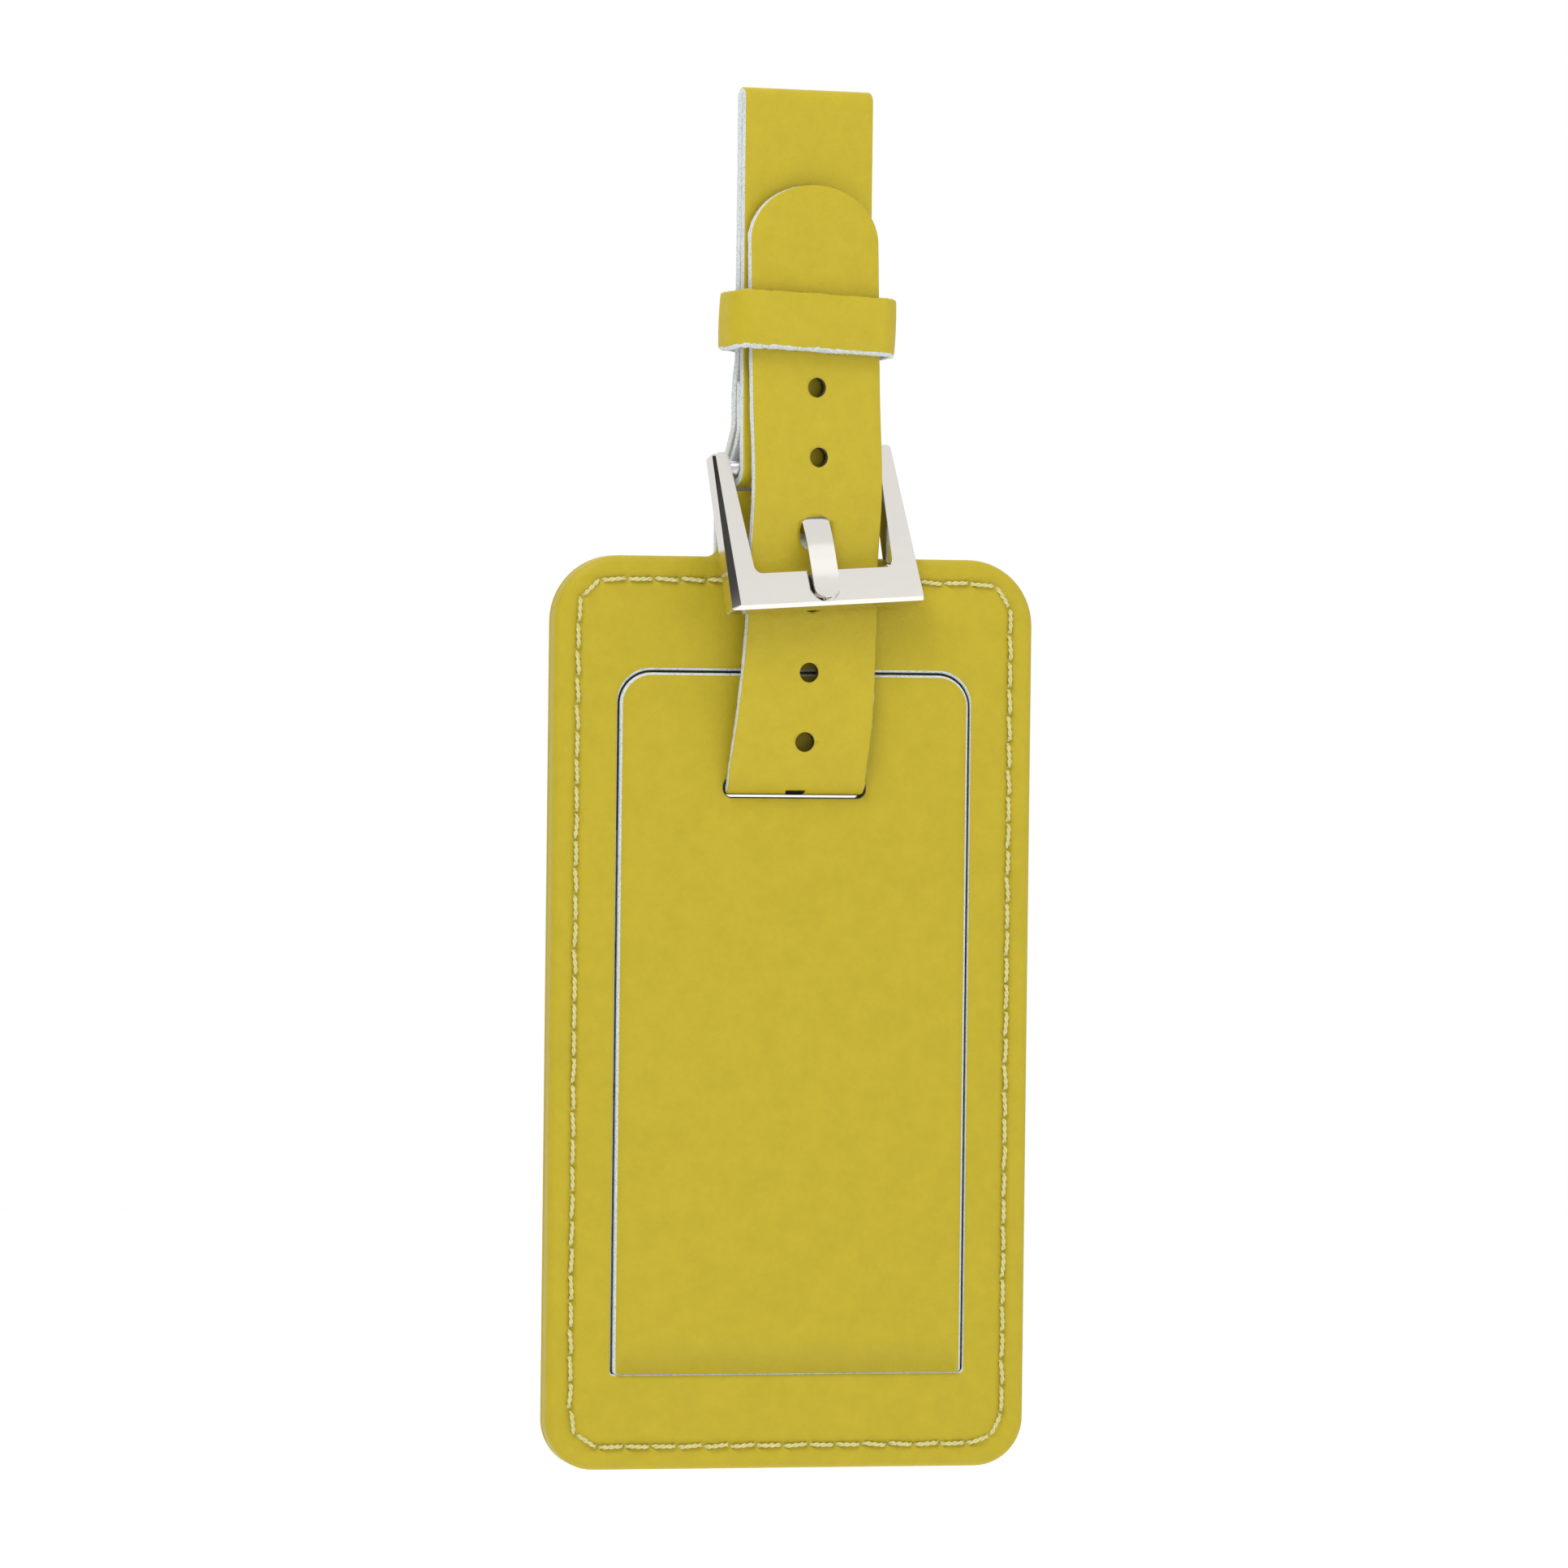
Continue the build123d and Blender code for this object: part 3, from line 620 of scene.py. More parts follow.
def strap_cutters():
    """Punched holes with walls in near-black painted shade, the prong's slanted hole and the gap for its
    ring.
    """
    facing_y = Matrix.Rotation(radians(90), 4, "X")
    places = [LOOP @ Matrix.Translation((shift, -2.85, z)) @ facing_y for shift, z in LOOP_PUNCHES]
    places += [Matrix.Translation(spot) @ facing_y for spot in LOWER_PUNCHES]
    places.append(Matrix.Translation(BIGHT_PUNCH)
                  @ Matrix.Rotation(radians(BIGHT_PUNCH_TILT - 90), 4, "X"))
    # the punches carry near-black painted shade onto the hole walls
    cutters = [prism("punch", circle(PUNCH_RADIUS), 2.0, place, PAINTED_HOLE_SHADE) for place in places]
    slanted = (AT_BUCKLE @ Matrix.Translation((PRONG_SHIFT, *PRONG_CROSSING))
               @ Matrix.Rotation(radians(-PRONG_CROSSING_LEAN), 4, "X")
               @ Matrix.Translation((0, 0.3, 0)))
    cutters.append(prism("prong_hole", rounded_box(3.9, 2.3, 1.1), 6.0, slanted, CUT_EDGE))
    ring_gap = AT_BUCKLE @ Matrix.Translation((PRONG_SHIFT, 0.25, 0))
    cutters.append(prism("ring_gap", rounded_box(4.2, 5.0, 0.3, 2), 7.2, ring_gap, CUT_EDGE))
    return cutters


# ================================================================ keeper
def keeper():
    """Leather band round the legs: crowned outside, raw along its lower edge."""
    outer = rounded_box(KEEPER_WIDTH + 2 * KEEPER_WALL, KEEPER_DEPTH + 2 * KEEPER_WALL, 2.9, 10)
    outer = densify(outer, 0.35)
    inner = match_points(outer, rounded_box(KEEPER_WIDTH, KEEPER_DEPTH, 0.4, 2))
    # each level is (height, share of the wall from the inside out)
    low_cut = [(-0.5, 0.1), (-0.492, 0.5), (-0.475, 0.9), (-0.45, 0.98)]
    crown = [(-0.4, 1.02), (-0.2, 1.08), (0.0, 1.1), (0.2, 1.08), (0.4, 1.02)]
    top_cut = [(-level, share) for level, share in reversed(low_cut)]
    inside = [(0.45, 0.0), (0.0, 0.0), (-0.45, 0.0)]
    levels = low_cut + crown + top_cut + inside
    raw_below = len(low_cut) - 1
    suede_from = len(levels) - len(inside) - 1
    points = []
    for (ox, oy), (ix, iy) in zip(outer, inner):
        for level, share in levels:
            spot = Vector((ix + (ox - ix) * share, iy + (oy - iy) * share, level * KEEPER_HEIGHT))
            rough = 0.16 if abs(level) > 0.44 else 0.0
            spot.z += wobble(spot, 2.6, rough) + wobble((spot.x, spot.y, 0), 0.3, 0.14, 4.0)
            spot.z -= 0.12 * min(3.0, spot.y + KEEPER_DEPTH / 2 + KEEPER_WALL)
            points.append(AT_KEEPER @ spot)
    faces, places = loft_grid([levels] * len(outer), closed_rows=True)
    indices = []
    for _, column in places:
        if column < raw_below:
            indices.append(RAW)
        else:
            indices.append(SUEDE if column >= suede_from else GRAIN)
    body = make_object("keeper_band", points, faces, [STRAP_GRAIN, CUT_EDGE, FLESH], indices)
    recalculate(body)
    return finish_piece(body, "keeper_band", "strap_leather", "keeper")


def densify(outline, step):
    """A closed outline with extra points so that none are further apart than step."""
    rows = []
    for here, after in zip(outline, outline[1:] + outline[:1]):
        gap = hypot(after[0] - here[0], after[1] - here[1])
        count = max(1, ceil(gap / step))
        for k in range(count):
            rows.append((here[0] + (after[0] - here[0]) * k / count,
                         here[1] + (after[1] - here[1]) * k / count))
    return rows


def match_points(outer, inner):
    """For each outer point, the point of the inner rectangle straight inwards from it."""
    half_x = max(x for x, _ in inner)
    half_y = max(y for _, y in inner)
    return [(max(-half_x, min(half_x, x)), max(-half_y, min(half_y, y))) for x, y in outer]


# ================================================================ buckle
def arc(cx, cy, radius, start, end, steps=7):
    """Points of an arc, angles in degrees."""
    return [(cx + radius * cos(radians(start + (end - start) * k / steps)),
             cy + radius * sin(radians(start + (end - start) * k / steps))) for k in range(steps + 1)]


def frame_half(leg_inset, corner_inset, low_inset, inner_inset):
    """(x, z) round the outside of the frame's right half and back up its inside."""
    top, bottom = FRAME_TOP - inner_inset, FRAME_BOTTOM + low_inset
    bar_top = OPENING_BOTTOM - inner_inset
    outer_top, outer_bottom = FRAME_HALF_TOP - leg_inset, FRAME_HALF_BOTTOM - corner_inset
    inner_top, inner_bottom = OPENING_HALF_TOP + inner_inset, OPENING_HALF_BOTTOM + inner_inset
    top_round = 0.55
    corner_round = 0.3 if low_inset == 0.0 else 0.12
    outside = arc(outer_bottom - corner_round, bottom + corner_round, corner_round, -90, 0, 4)
    outside += arc(outer_top - top_round, top - top_round, top_round, 0, 90, 5)
    inside = arc(inner_top + top_round, top - top_round, top_round, 90, 180, 5)
    inside += arc(inner_bottom - 1.0, bar_top + 1.0, 1.0, 0, -90, 6)
    return outside + inside


def frame_loop(right_insets, left_insets, low_inset, inner_inset):
    """The whole frame's outline with its own insets on the right and left legs."""
    right = frame_half(*right_insets, low_inset, inner_inset)
    left = frame_half(*left_insets, low_inset, inner_inset)
    return right + [(-x, z) for x, z in reversed(left)]


def frame_rings():
    """Front, shoulder and back loops of the frame; the near leg's facet widens downwards."""
    half_depth = FRAME_DEPTH / 2
    shoulder = 0.45
    full = frame_loop((0.0, 0.0), (0.0, 0.0), 0.0, 0.0)
    face = frame_loop((0.2, 0.24), (0.25, 1.0), 0.4, 0.14)
    front = [Vector((x, -half_depth, z)) for x, z in face]
    middle = [Vector((x, -half_depth + shoulder, z)) for x, z in full]
    back = [Vector((x, half_depth, z)) for x, z in full]
    return front, middle, back


def buckle_frame():
    """Polished open-topped frame: flat face, slanted facets, a groove for the prong."""
    rings = frame_rings()
    count = len(rings[0])
    points = [TILTED @ point for ring in rings for point in ring]
    faces, _ = loft_grid(rings)
    faces += [tuple(reversed(range(count))), tuple(range(2 * count, 3 * count))]
    body = make_object("buckle", points, faces, [NICKEL])
    recalculate(body)
    groove = (arc(PRONG_SHIFT, GROOVE_BOTTOM + GROOVE_HALF, GROOVE_HALF, -180, 0, 16)
              + [(PRONG_SHIFT + GROOVE_HALF, GROOVE_TOP), (PRONG_SHIFT - GROOVE_HALF, GROOVE_TOP)])
    face = TILTED @ Matrix.Translation((0, -FRAME_DEPTH / 2, 0)) @ Matrix.Rotation(radians(90), 4, "X")
    cut_with(body, [prism("groove", groove, 2 * GROOVE_DEPTH, face, NICKEL)])
    ease_edges(body, 0.11)
    return finish_piece(body, "buckle", "nickel", "buckle_frame")


def ease_edges(obj, width):
    """Round the crisp edges a little, leaving the faces flat."""
    bevel = obj.modifiers.new("ease", "BEVEL")
    bevel.width = width * MM
    bevel.segments = 3
    bevel.limit_method = "ANGLE"
    bevel.angle_limit = radians(24)
    bevel.harden_normals = True
    return apply_modifiers(obj)


def heel_pin():
    """Round pin with domed ends."""
    right_end = [(PIN_HALF - 0.25, PIN_RADIUS), (PIN_HALF, 0.65), (PIN_HALF + 0.02, 0.3)]
    stations = [(-x, r) for x, r in reversed(right_end)] + right_end
    count = 32
    points = []
    for x, r in stations:
        for k in range(count):
            angle = 2 * pi * k / count
            points.append(AT_BUCKLE @ Vector((x, r * cos(angle), r * sin(angle))))
    faces, _ = loft_grid([range(count)] * len(stations))
    last = (len(stations) - 1) * count
    faces += [tuple(range(count)), tuple(range(last, last + count))]
    body = make_object("heel_wire", points, faces, [STEEL])
    recalculate(body)
    return finish_piece(body, "buckle", "steel", "heel_pin")


def prong_blade():
    """Points and section of the tongue: two facets that meet in a ridge, a round end."""
    cap = 1.5
    section = [(-1.0, -0.58), (1.0, -0.58), (1.0, -0.36), (0.9, -0.16), (0.07, 0.6), (-0.07, 0.6),
               (-0.9, -0.16), (-1.0, -0.36)]
    rows = smoothed([[0.0, y, z] for y, z in PRONG_PATH], 0.3)
    lengths = run_lengths(rows)
    rings = []
    for k, row in enumerate(rows):
        run = Vector(rows[min(k + 1, len(rows) - 1)]) - Vector(rows[max(k - 1, 0)])
        forward = Vector((1, 0, 0)).cross(run).normalized()
        left_over = lengths[-1] - lengths[k]
        rounding = sqrt(max(0.06, 1 - max(0.0, 1 - left_over / cap) ** 2))
        height = 0.35 + 0.65 * min(1.0, left_over / 1.3)
        rings.append([Vector((PRONG_SHIFT + s * PRONG_HALF * rounding, 0, 0)) + Vector(row)
                      + forward * (n * height if n > 0 else n) for s, n in section])
    return rings


def prong():
    """Tongue rolled round the pin, its end lying in the bar's groove."""
    rings = prong_blade()
    count = len(rings[0])
    points = [AT_BUCKLE @ point for ring in rings for point in ring]
    faces, _ = loft_grid(rings)
    last = (len(rings) - 1) * count
    faces += [tuple(range(count)), tuple(range(last, last + count))]
    half = PRONG_HALF
    bore, outside = 0.97, 2.08
    ring_section = [(-half, bore + 0.08), (-half + 0.1, bore), (half - 0.1, bore), (half, bore + 0.08),
                    (half, outside - 0.13), (half - 0.25, outside), (-half + 0.25, outside),
                    (-half, outside - 0.13)]
    ring_count = 40
    start = len(points)
    for k in range(ring_count):
        angle = 2 * pi * k / ring_count
        points += [AT_BUCKLE @ Vector((PRONG_SHIFT + x, r * cos(angle), r * sin(angle)))
                   for x, r in ring_section]
    ring_faces, _ = loft_grid([ring_section] * ring_count, closed_rows=True)
    faces += [tuple(start + v for v in face) for face in ring_faces]
    body = make_object("prong_tongue", points, faces, [NICKEL])
    recalculate(body)
    ease_edges(body, 0.09)
    return finish_piece(body, "buckle_prong", "nickel", "prong")


# ================================================================ tag panels
SIDE_X = 70
SIDE_Z = 150
CORNER = 14


def ring_loop(half, top, bottom, top_radius, bottom_radius):
    """Closed loop in X and Z with the same number of points whatever its size."""
    loop = []
    spans = [(-half + bottom_radius, bottom, half - bottom_radius, bottom, SIDE_X),
             (half, bottom + bottom_radius, half, top - top_radius, SIDE_Z),
             (half - top_radius, top, -half + top_radius, top, SIDE_X),
             (-half, top - top_radius, -half, bottom + bottom_radius, SIDE_Z)]
    corners = [(half - bottom_radius, bottom + bottom_radius, bottom_radius, -90),
               (half - top_radius, top - top_radius, top_radius, 0),
               (-half + top_radius, top - top_radius, top_radius, 90),
               (-half + bottom_radius, bottom + bottom_radius, bottom_radius, 180)]
    for (x0, z0, x1, z1, count), (cx, cz, radius, start) in zip(spans, corners):
        for k in range(count):
            loop.append((x0 + (x1 - x0) * k / count, z0 + (z1 - z0) * k / count))
        for k in range(CORNER):
            angle = radians(start + 90 * k / CORNER)
            loop.append((cx + radius * cos(angle), cz + radius * sin(angle)))
    return loop


def tag_loop(inset):
    """The tag's outline moved inwards."""
    top_radius = max(TOP_CORNER - inset, SEAM_CORNER)
    bottom_radius = max(BOTTOM_CORNER - inset, SEAM_CORNER)
    return ring_loop(TAG_HALF - inset, TAG_TOP - inset, TAG_BOTTOM + inset, top_radius, bottom_radius)


def flap_loop(grow):
    """The flap's outline, grown sideways and upwards."""
    return ring_loop(FLAP_HIGH.x + grow, FLAP_HIGH.z + grow, FLAP_LOW.z, FLAP_CORNER + grow, 0.4)


def slot_loop(grow):
    """The strap's slot, rounded at both ends."""
    height = SLOT_TOP - SLOT_BOTTOM + 2 * grow
    radius = height / 2 - 0.15
    return ring_loop(SLOT_HALF + grow, SLOT_TOP + grow, SLOT_BOTTOM - grow, radius, radius)


def between(first, second, share):
    """Loop part of the way from one loop to another."""
    return [(a + (c - a) * share, b + (d - b) * share) for (a, b), (c, d) in zip(first, second)]


def seam_points():
    """(x, z) of each needle hole, evenly spaced round the seam."""
    loop = ring_loop(TAG_HALF - SEAM_INSET, TAG_TOP - SEAM_INSET, TAG_BOTTOM + SEAM_INSET,
                     SEAM_CORNER, SEAM_CORNER)
    lengths = [0.0]
    for here, after in zip(loop, loop[1:] + loop[:1]):
        lengths.append(lengths[-1] + hypot(after[0] - here[0], after[1] - here[1]))
    count = round(lengths[-1] / STITCH_PITCH)
    points = []
    k = 0
    for n in range(count):
        target = lengths[-1] * n / count
        while lengths[k + 1] < target:
            k += 1
        share = (target - lengths[k]) / (lengths[k + 1] - lengths[k])
        x0, z0 = loop[k]
        x1, z1 = loop[(k + 1) % len(loop)]
        points.append((x0 + (x1 - x0) * share, z0 + (z1 - z0) * share))
    return points


SEAM = seam_points()


def seam_sink(x, z):
    """How far the seam pulls the leather in at a place, in millimetres."""
    beside = max(abs(x) - (TAG_HALF - SEAM_INSET), z - (TAG_TOP - SEAM_INSET),
                 (TAG_BOTTOM + SEAM_INSET) - z)
    if abs(beside) > 2.2:
        return 0.0
    groove = 0.16 * max(0.0, 1 - abs(beside) / 1.1) ** 2
    nearest = min((x - hx) ** 2 + (z - hz) ** 2 for hx, hz in SEAM)
    return groove + 0.45 * max(0.0, 1 - sqrt(nearest) / 0.75)


def panel_mesh(name, layers, face_sign):
    """Closed sheet from layers of (loop, y, bumpy, material of the band that follows)."""
    points = []
    for loop, y, bumpy, _ in layers:
        for x, z in loop:
            depth = y
            if bumpy:
                depth += face_sign * (seam_sink(x, z) + wobble((x, y, z), 0.09, 0.07))
            points.append((x, depth, z))
    faces, places = loft_grid([layer[0] for layer in layers], closed_rows=True)
    indices = [layers[row][3] for row, _ in places]
    body = make_object(name, points, faces, TAG_LEATHERS, indices)
    recalculate(body)
    return body


def rounded_rim(radius, steps, face_y, inwards):
    """Layers that roll the tag's edge from its face, towards the inside of the tag."""
    layers = []
    for k in range(steps + 1):
        angle = radians(90 * k / steps)
        loop = tag_loop(radius * (1 - sin(angle)))
        layers.append((loop, face_y + inwards * radius * (1 - cos(angle)), False, GRAIN))
    return layers


def front_panel():
    """Front leather: rounded turned edge, seam groove, raw cut round the flap."""
    opening = flap_loop(FLAP_CUT)
    leather_back_y = FRONT_Y + LEATHER
    layers = [(opening, leather_back_y, False, RAW), (opening, FRONT_Y + 0.16, False, RAW)]
    layers.append((between(opening, tag_loop(5.0), 0.03), FRONT_Y, False, GRAIN))
    layers += [(between(opening, tag_loop(4.2), share), FRONT_Y, True, GRAIN) for share in (0.1, 0.3, 0.6)]
    layers += [(tag_loop(inset), FRONT_Y, True, GRAIN) for inset in (*SEAM_BAND, 1.4)]
    layers += rounded_rim(0.95, 6, FRONT_Y, 1)
    layers.append((tag_loop(0.0), HEM_BACK_Y - 0.25, False, GRAIN))
    layers.append((tag_loop(0.22), HEM_BACK_Y, False, SUEDE))
    layers.append((tag_loop(3.9), HEM_BACK_Y, False, SUEDE))
    layers.append((tag_loop(3.9), leather_back_y, False, SUEDE))
    body = panel_mesh("front_leather", layers, 1)
    return finish_piece(body, "tag", "tag_leather", "front_panel")


def privacy_flap():
    """The flap: domed a little, a raw bevel round it, painted shade on the wall of its slot."""
    front_y, back_y = FLAP_LOW.y, FLAP_HIGH.y
    outline = flap_loop(0.0)
    slot = slot_loop(0.0)
    slot_rim = slot_loop(0.14)
    # the slot's wall bands are painted near-black, standing in for shade
    layers = [(slot, back_y, False, HOLE_SHADE), (slot, front_y + 0.14, False, HOLE_SHADE),
              (slot_rim, front_y, False, GRAIN)]
    layers += [(between(slot_rim, flap_loop(-0.6), share), front_y, True, GRAIN)
               for share in (0.06, 0.2, 0.4, 0.6, 0.8, 0.93)]
    layers.append((flap_loop(-0.26), front_y, False, RAW))
    layers.append((outline, front_y + 0.3, False, RAW))
    layers.append((outline, back_y, False, SUEDE))
    body = panel_mesh("flap_leather", layers, 1)
    return finish_piece(body, "flap", "tag_leather", "privacy_flap")


def back_panel():
    """Back leather with its slot, and the tab that stands above the tag."""
    inner_y = BACK_LOW.y
    slot = slot_loop(0.3)
    slot_rim = slot_loop(0.45)
    layers = [(slot, inner_y, False, RAW), (slot, BACK_Y - 0.15, False, RAW),
              (slot_rim, BACK_Y, False, GRAIN)]
    layers += [(between(slot_rim, tag_loop(4.2), share), BACK_Y, True, GRAIN)
               for share in (0.1, 0.3, 0.5, 0.75)]
    layers += [(tag_loop(inset), BACK_Y, True, GRAIN) for inset in (*SEAM_BAND, 1.2)]
    layers += rounded_rim(0.6, 5, BACK_Y, -1)
    layers.append((tag_loop(0.0), inner_y + 0.2, False, GRAIN))
    layers.append((tag_loop(0.2), inner_y, False, SUEDE))
    panel = panel_mesh("back_leather", layers, -1)
    join_into(panel, [back_tab(inner_y)])
    return finish_piece(panel, "tag", "tag_leather", "back_panel")


def tab_outline(crease):
    """(x, z) up the tab's right side: flared foot, crease, eased top corner."""
    half = 8.6
    flare = 1.5
    top_round = 1.2
    top = BACK_HIGH.z
    right = [(half + flare, TAG_TOP - 1.2), (half + flare, TAG_TOP)]
    right += arc(half + flare, TAG_TOP + flare, flare, -90, -180, 6)[1:]
    right += [(half, crease - 0.5), (half, crease), (half, crease + 0.5)]
    right += arc(half - top_round, top - top_round, top_round, 0, 90, 6)
    return right


def back_tab(inner_y):
    """The tab: a sheet between the two sides of its outline, with a crease across it."""
    crease = -49.4
    columns = 14
    edge_at = {}
    for x, z in tab_outline(crease):
        edge_at[z] = max(x, edge_at.get(z, 0.0))
    rows = sorted(edge_at)
    points = []
    for z in rows:
        dip = 0.14 * max(0.0, 1 - abs(z - crease) / 0.45)
        for side, sign in ((inner_y, 1), (BACK_Y, -1)):
            for c in range(columns + 1):
                across = 2 * c / columns - 1
                ease = 0.35 * max(0.0, abs(across) - 0.93) / 0.07
                points.append((edge_at[z] * across, side + sign * (ease + dip), z))
    # a row's points run across the inner side, then across the back
    width = 2 * (columns + 1)
    inner = list(range(columns + 1))
    back = list(range(columns + 1, width))
    pairs = (list(zip(inner, inner[1:])) + [(inner[-1], back[-1])]
             + list(zip(back, back[1:])) + [(inner[0], back[0])])
    faces = []
    for r in range(len(rows) - 1):
        low, high = r * width, (r + 1) * width
        faces += [(low + a, low + b, high + b, high + a) for a, b in pairs]
    for low in (0, (len(rows) - 1) * width):
        faces.append(tuple(low + c for c in inner + back[::-1]))
    tab = make_object("tab", points, faces, [TAG_GRAIN])
    recalculate(tab)
    return tab


def join_into(target, others):
    """Merge meshes into the target object, sharing its first material."""
    merged = bmesh.new()
    merged.from_mesh(target.data)
    for other in others:
        merged.from_mesh(other.data)
    merged.to_mesh(target.data)
    merged.free()
    for other in others:
        bpy.data.objects.remove(other)
    return target


# ================================================================ thread
def twisted_stitch(start, end, outward, radius):
    """Points and faces of one two-ply stitch from hole to hole."""
    along = (end - start)
    length = along.length
    along.normalize()
    side = along.cross(outward).normalized()
    steps = 18
    sides = 7
    dive = 0.55
    turns = 1.9
    slant = random.uniform(-0.12, 0.12)
    points = []
    faces = []
    twist = random.uniform(0, pi)
    for strand in (0.0, pi):
        first = len(points)
        for k in range(steps + 1):
            u = k / steps
            rise = 1 - abs(2 * u - 1) ** 5
            centre = start + along * (length * u) + side * (slant * sin(pi * (u - 0.5)))
            centre += outward * (radius * 0.95 * rise - dive * (1 - rise))
            angle = twist + strand + 2 * pi * turns * u
            centre += (side * cos(angle) + outward * sin(angle)) * radius * 0.42
            for m in range(sides):
                turn = 2 * pi * m / sides
                points.append(centre + (side * cos(turn) + outward * sin(turn)) * radius * 0.62)
        for k in range(steps):
            for m in range(sides):
                a = first + k * sides + m
                b = first + k * sides + (m + 1) % sides
                faces.append((a, b, b + sides, a + sides))
        faces.append(tuple(first + m for m in reversed(range(sides))))
        faces.append(tuple(first + steps * sides + m for m in range(sides)))
    return points, faces


def stitches(name, pairs, outward, body, node, radius=0.26):
    """A row of stitches as one piece."""
    points = []
    faces = []
    for start, end in pairs:
        made, joined = twisted_stitch(start, end, outward, radius)
        shift = len(points)
        points += made
        faces += [tuple(shift + v for v in face) for face in joined]
    piece = make_object(name, points, faces, [THREAD])
    return finish_piece(piece, body, "thread", node)


def seam(name, face_y, outward, node):
    """The perimeter seam on one face of the tag."""
    pairs = []
    hole_margin = 0.08
    for (x0, z0), (x1, z1) in zip(SEAM, SEAM[1:] + SEAM[:1]):
        start = Vector((x0, face_y, z0))
        end = Vector((x1, face_y, z1))
        along = (end - start).normalized() * hole_margin
        pairs.append((start + along, end - along))
    return stitches(name, pairs, outward, "tag", node)


def turn_back_seam():
    """The hidden row that holds the strap's turned-back end."""
    forward = LOOP.to_3x3() @ Vector((0, -1, 0))
    pairs = []
    for k in range(5):
        left = HEEL_SHIFT - 7.0 + 2.8 * k
        pairs.append((LOOP @ Vector((left + 0.2, -1.45, -35.6)),
                      LOOP @ Vector((left + 2.6, -1.45, -35.6))))
    return stitches("turn_back_stitches", pairs, forward, "strap_loop", "turn_back_thread", 0.17)


def keeper_seam():
    """Stitches across the keeper's butt joint at the back."""
    back = AT_KEEPER.to_3x3() @ Vector((0, 1, 0))
    pairs = []
    for z in (-2.1, 0.0, 2.1):
        pairs.append((AT_KEEPER @ Vector((-1.3, 3.8, z)), AT_KEEPER @ Vector((1.3, 3.8, z))))
    return stitches("keeper_stitches", pairs, back, "keeper_band", "keeper_thread", 0.22)


# ================================================================ carried-over CAD pieces
def dress_cad(node, material):
    """Give a carried-over CAD node its material."""
    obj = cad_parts[node]
    obj.data.materials.clear()
    obj.data.materials.append(material)


# ================================================================ studio
def studio():
    """Pale floor, soft key from the upper left and a white surround."""
    floor_z = -0.34
    half = 3.0
    square = [(-half, -half), (half, -half), (half, half), (-half, half)]
    corners = [(x, y, floor_z) for x, y in square]
    mesh = bpy.data.meshes.new("floor")
    mesh.from_pydata(corners, [], [(0, 1, 2, 3)])
    mesh.materials.append(pale_floor())
    floor = bpy.data.objects.new("floor", mesh)
    bpy.context.scene.collection.objects.link(floor)
    area_light("key", (-0.42, -0.5, 0.72), 0.5, 6.5)
    area_light("fill", (0.6, -0.7, 0.1), 0.7, 0.5)
    area_light("rim", (0.1, 0.6, 0.5), 0.6, 1.0)
    surround()
    bpy.context.scene.view_settings.view_transform = "Standard"


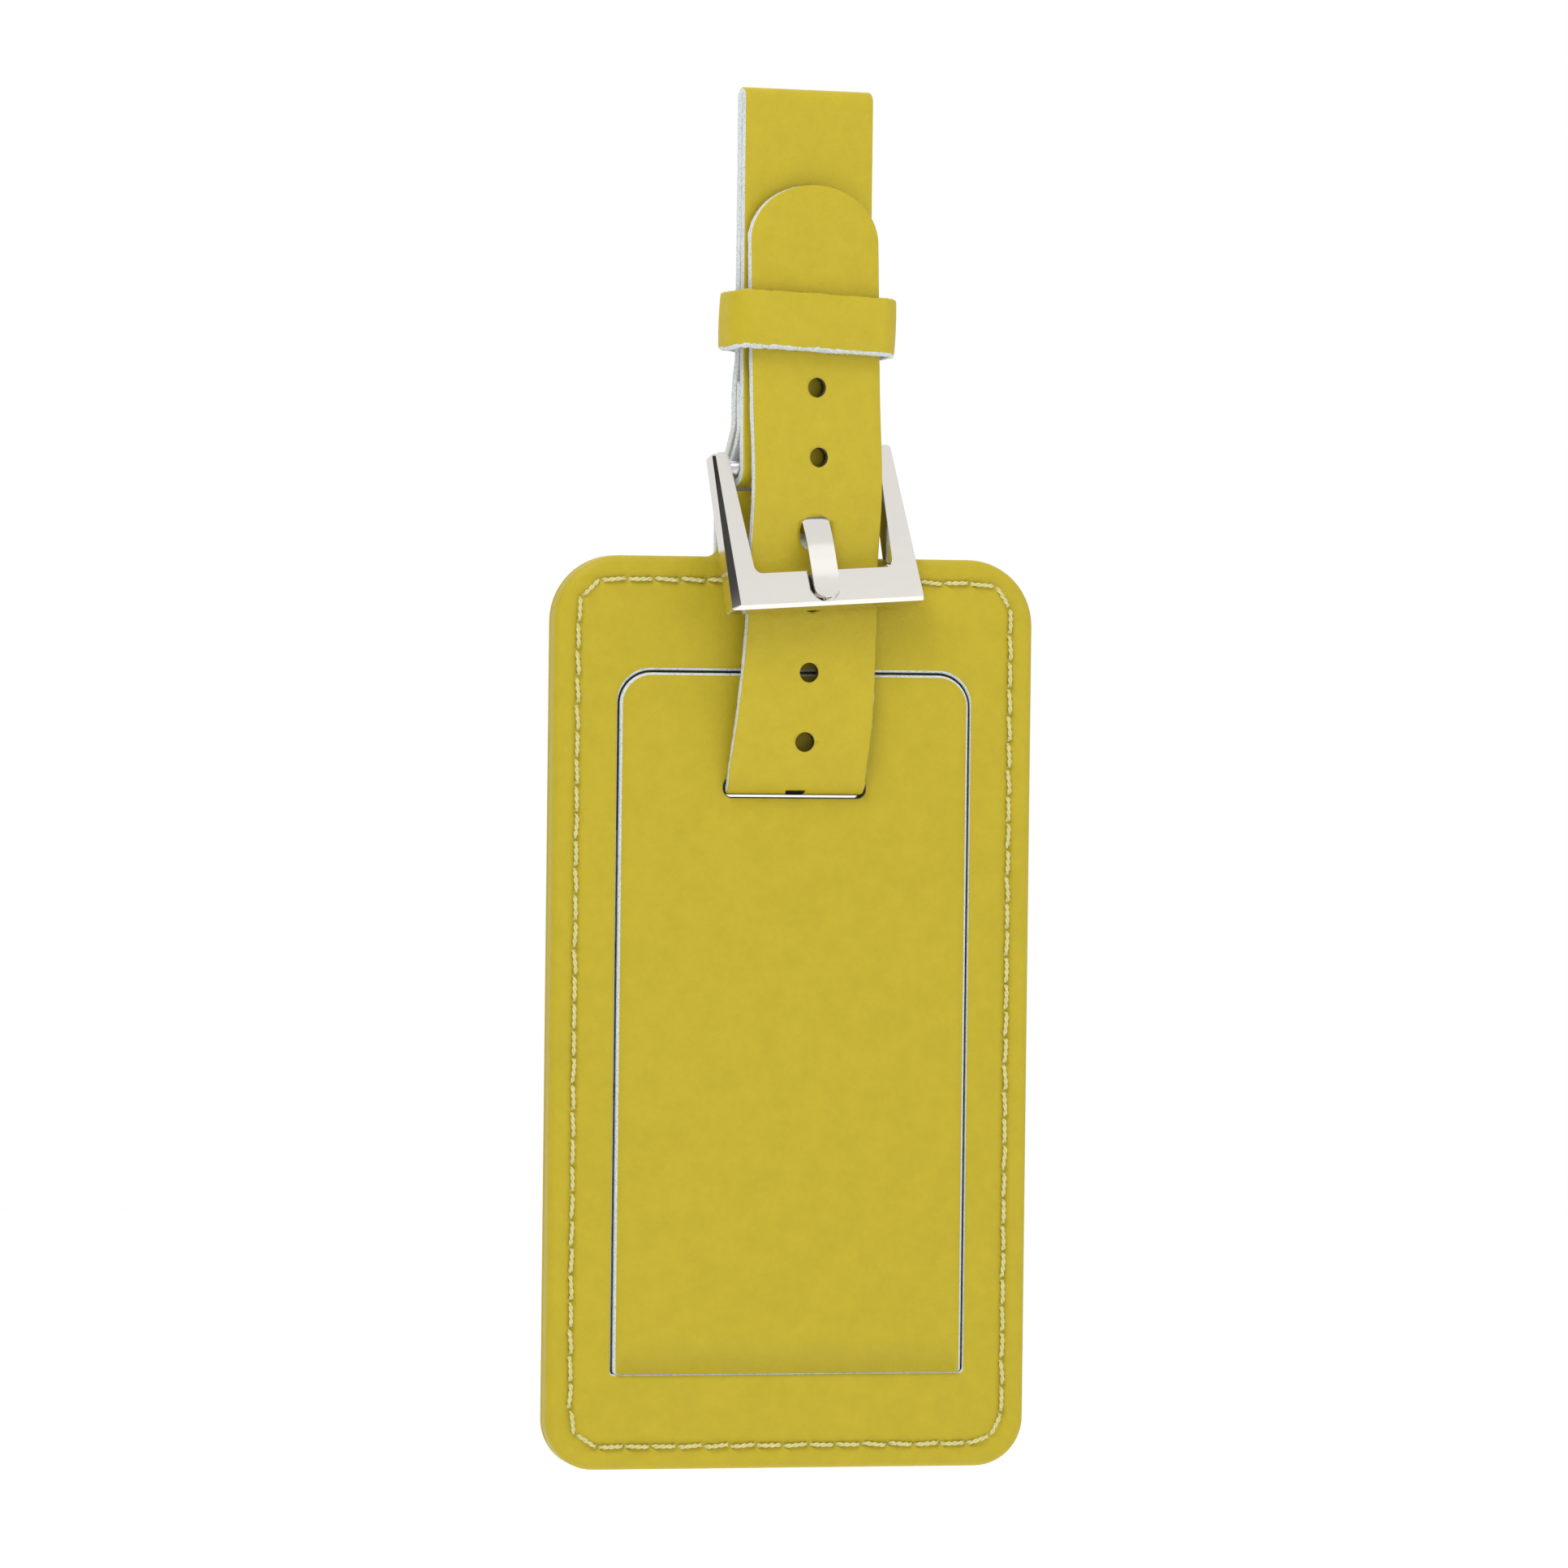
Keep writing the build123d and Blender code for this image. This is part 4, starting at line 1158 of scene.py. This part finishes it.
def surround():
    """White surround; what it casts on the tag has a dark patch that the metal picks up."""
    dark_towards = Vector((-0.75, -0.5, 0.42)).normalized()
    patch_edge, patch_core = 0.72, 0.9
    world = bpy.data.worlds.new("surround")
    world.use_nodes = True
    nodes, links = world.node_tree.nodes, world.node_tree.links
    seen = nodes["Background"]
    seen.inputs["Color"].default_value = (1.0, 1.0, 1.0, 1.0)
    cast = nodes.new("ShaderNodeBackground")
    place = nodes.new("ShaderNodeTexCoord")
    towards = nodes.new("ShaderNodeVectorMath")
    towards.operation = "DOT_PRODUCT"
    towards.inputs[1].default_value = dark_towards
    ramp = nodes.new("ShaderNodeValToRGB")
    ramp.color_ramp.elements[0].position = patch_edge
    ramp.color_ramp.elements[0].color = (0.92, 0.92, 0.93, 1.0)
    ramp.color_ramp.elements[1].position = patch_core
    ramp.color_ramp.elements[1].color = (0.03, 0.03, 0.03, 1.0)
    paths = nodes.new("ShaderNodeLightPath")
    mix = nodes.new("ShaderNodeMixShader")
    links.new(place.outputs["Generated"], towards.inputs[0])
    links.new(towards.outputs["Value"], ramp.inputs["Fac"])
    links.new(ramp.outputs["Color"], cast.inputs["Color"])
    links.new(paths.outputs["Is Camera Ray"], mix.inputs["Fac"])
    links.new(cast.outputs["Background"], mix.inputs[1])
    links.new(seen.outputs["Background"], mix.inputs[2])
    links.new(mix.outputs["Shader"], nodes["World Output"].inputs["Surface"])
    bpy.context.scene.world = world


def area_light(name, place, size, power):
    """A square soft light aimed at the tag."""
    light = bpy.data.lights.new(name, "AREA")
    light.energy = power
    light.size = size
    obj = bpy.data.objects.new(name, light)
    obj.location = place
    aim = Vector((0, 0, -0.08)) - Vector(place)
    obj.rotation_euler = aim.to_track_quat("-Z", "Y").to_euler()
    bpy.context.scene.collection.objects.link(obj)


def camera():
    """A long lens to the left of square on, level with the tag."""
    azimuth, elevation, roll = radians(-13.12), radians(0.94), radians(0.67)
    distance = 0.95
    width_seen = 183.0586 * MM
    target = Vector((-0.0012, 0.0015, -0.07975))
    back = Vector((sin(azimuth) * cos(elevation), -cos(azimuth) * cos(elevation), sin(elevation)))
    data = bpy.data.cameras.new("camera")
    data.sensor_width = 36.0
    data.lens = data.sensor_width * distance / width_seen
    data.clip_start = 0.05
    data.clip_end = 20.0
    obj = bpy.data.objects.new("camera", data)
    obj.location = target + back * distance
    turned = (-back).to_track_quat("-Z", "Y") @ Matrix.Rotation(roll, 3, "Z").to_quaternion()
    obj.rotation_mode = "QUATERNION"
    obj.rotation_quaternion = turned
    bpy.context.scene.collection.objects.link(obj)
    bpy.context.scene.camera = obj


strap()
keeper()
buckle_frame()
heel_pin()
prong()
front_panel()
privacy_flap()
back_panel()
seam("front_seam", FRONT_Y + 0.12, Vector((0, -1, 0)), "seam_thread_front")
seam("back_seam", BACK_Y - 0.12, Vector((0, 1, 0)), "seam_thread_back")
turn_back_seam()
keeper_seam()
dress_cad("address_card", ruled_card())
dress_cad("stiffener_board", fibre_board())
dress_cad("window_sheet", clear_sheet())
studio()
camera()
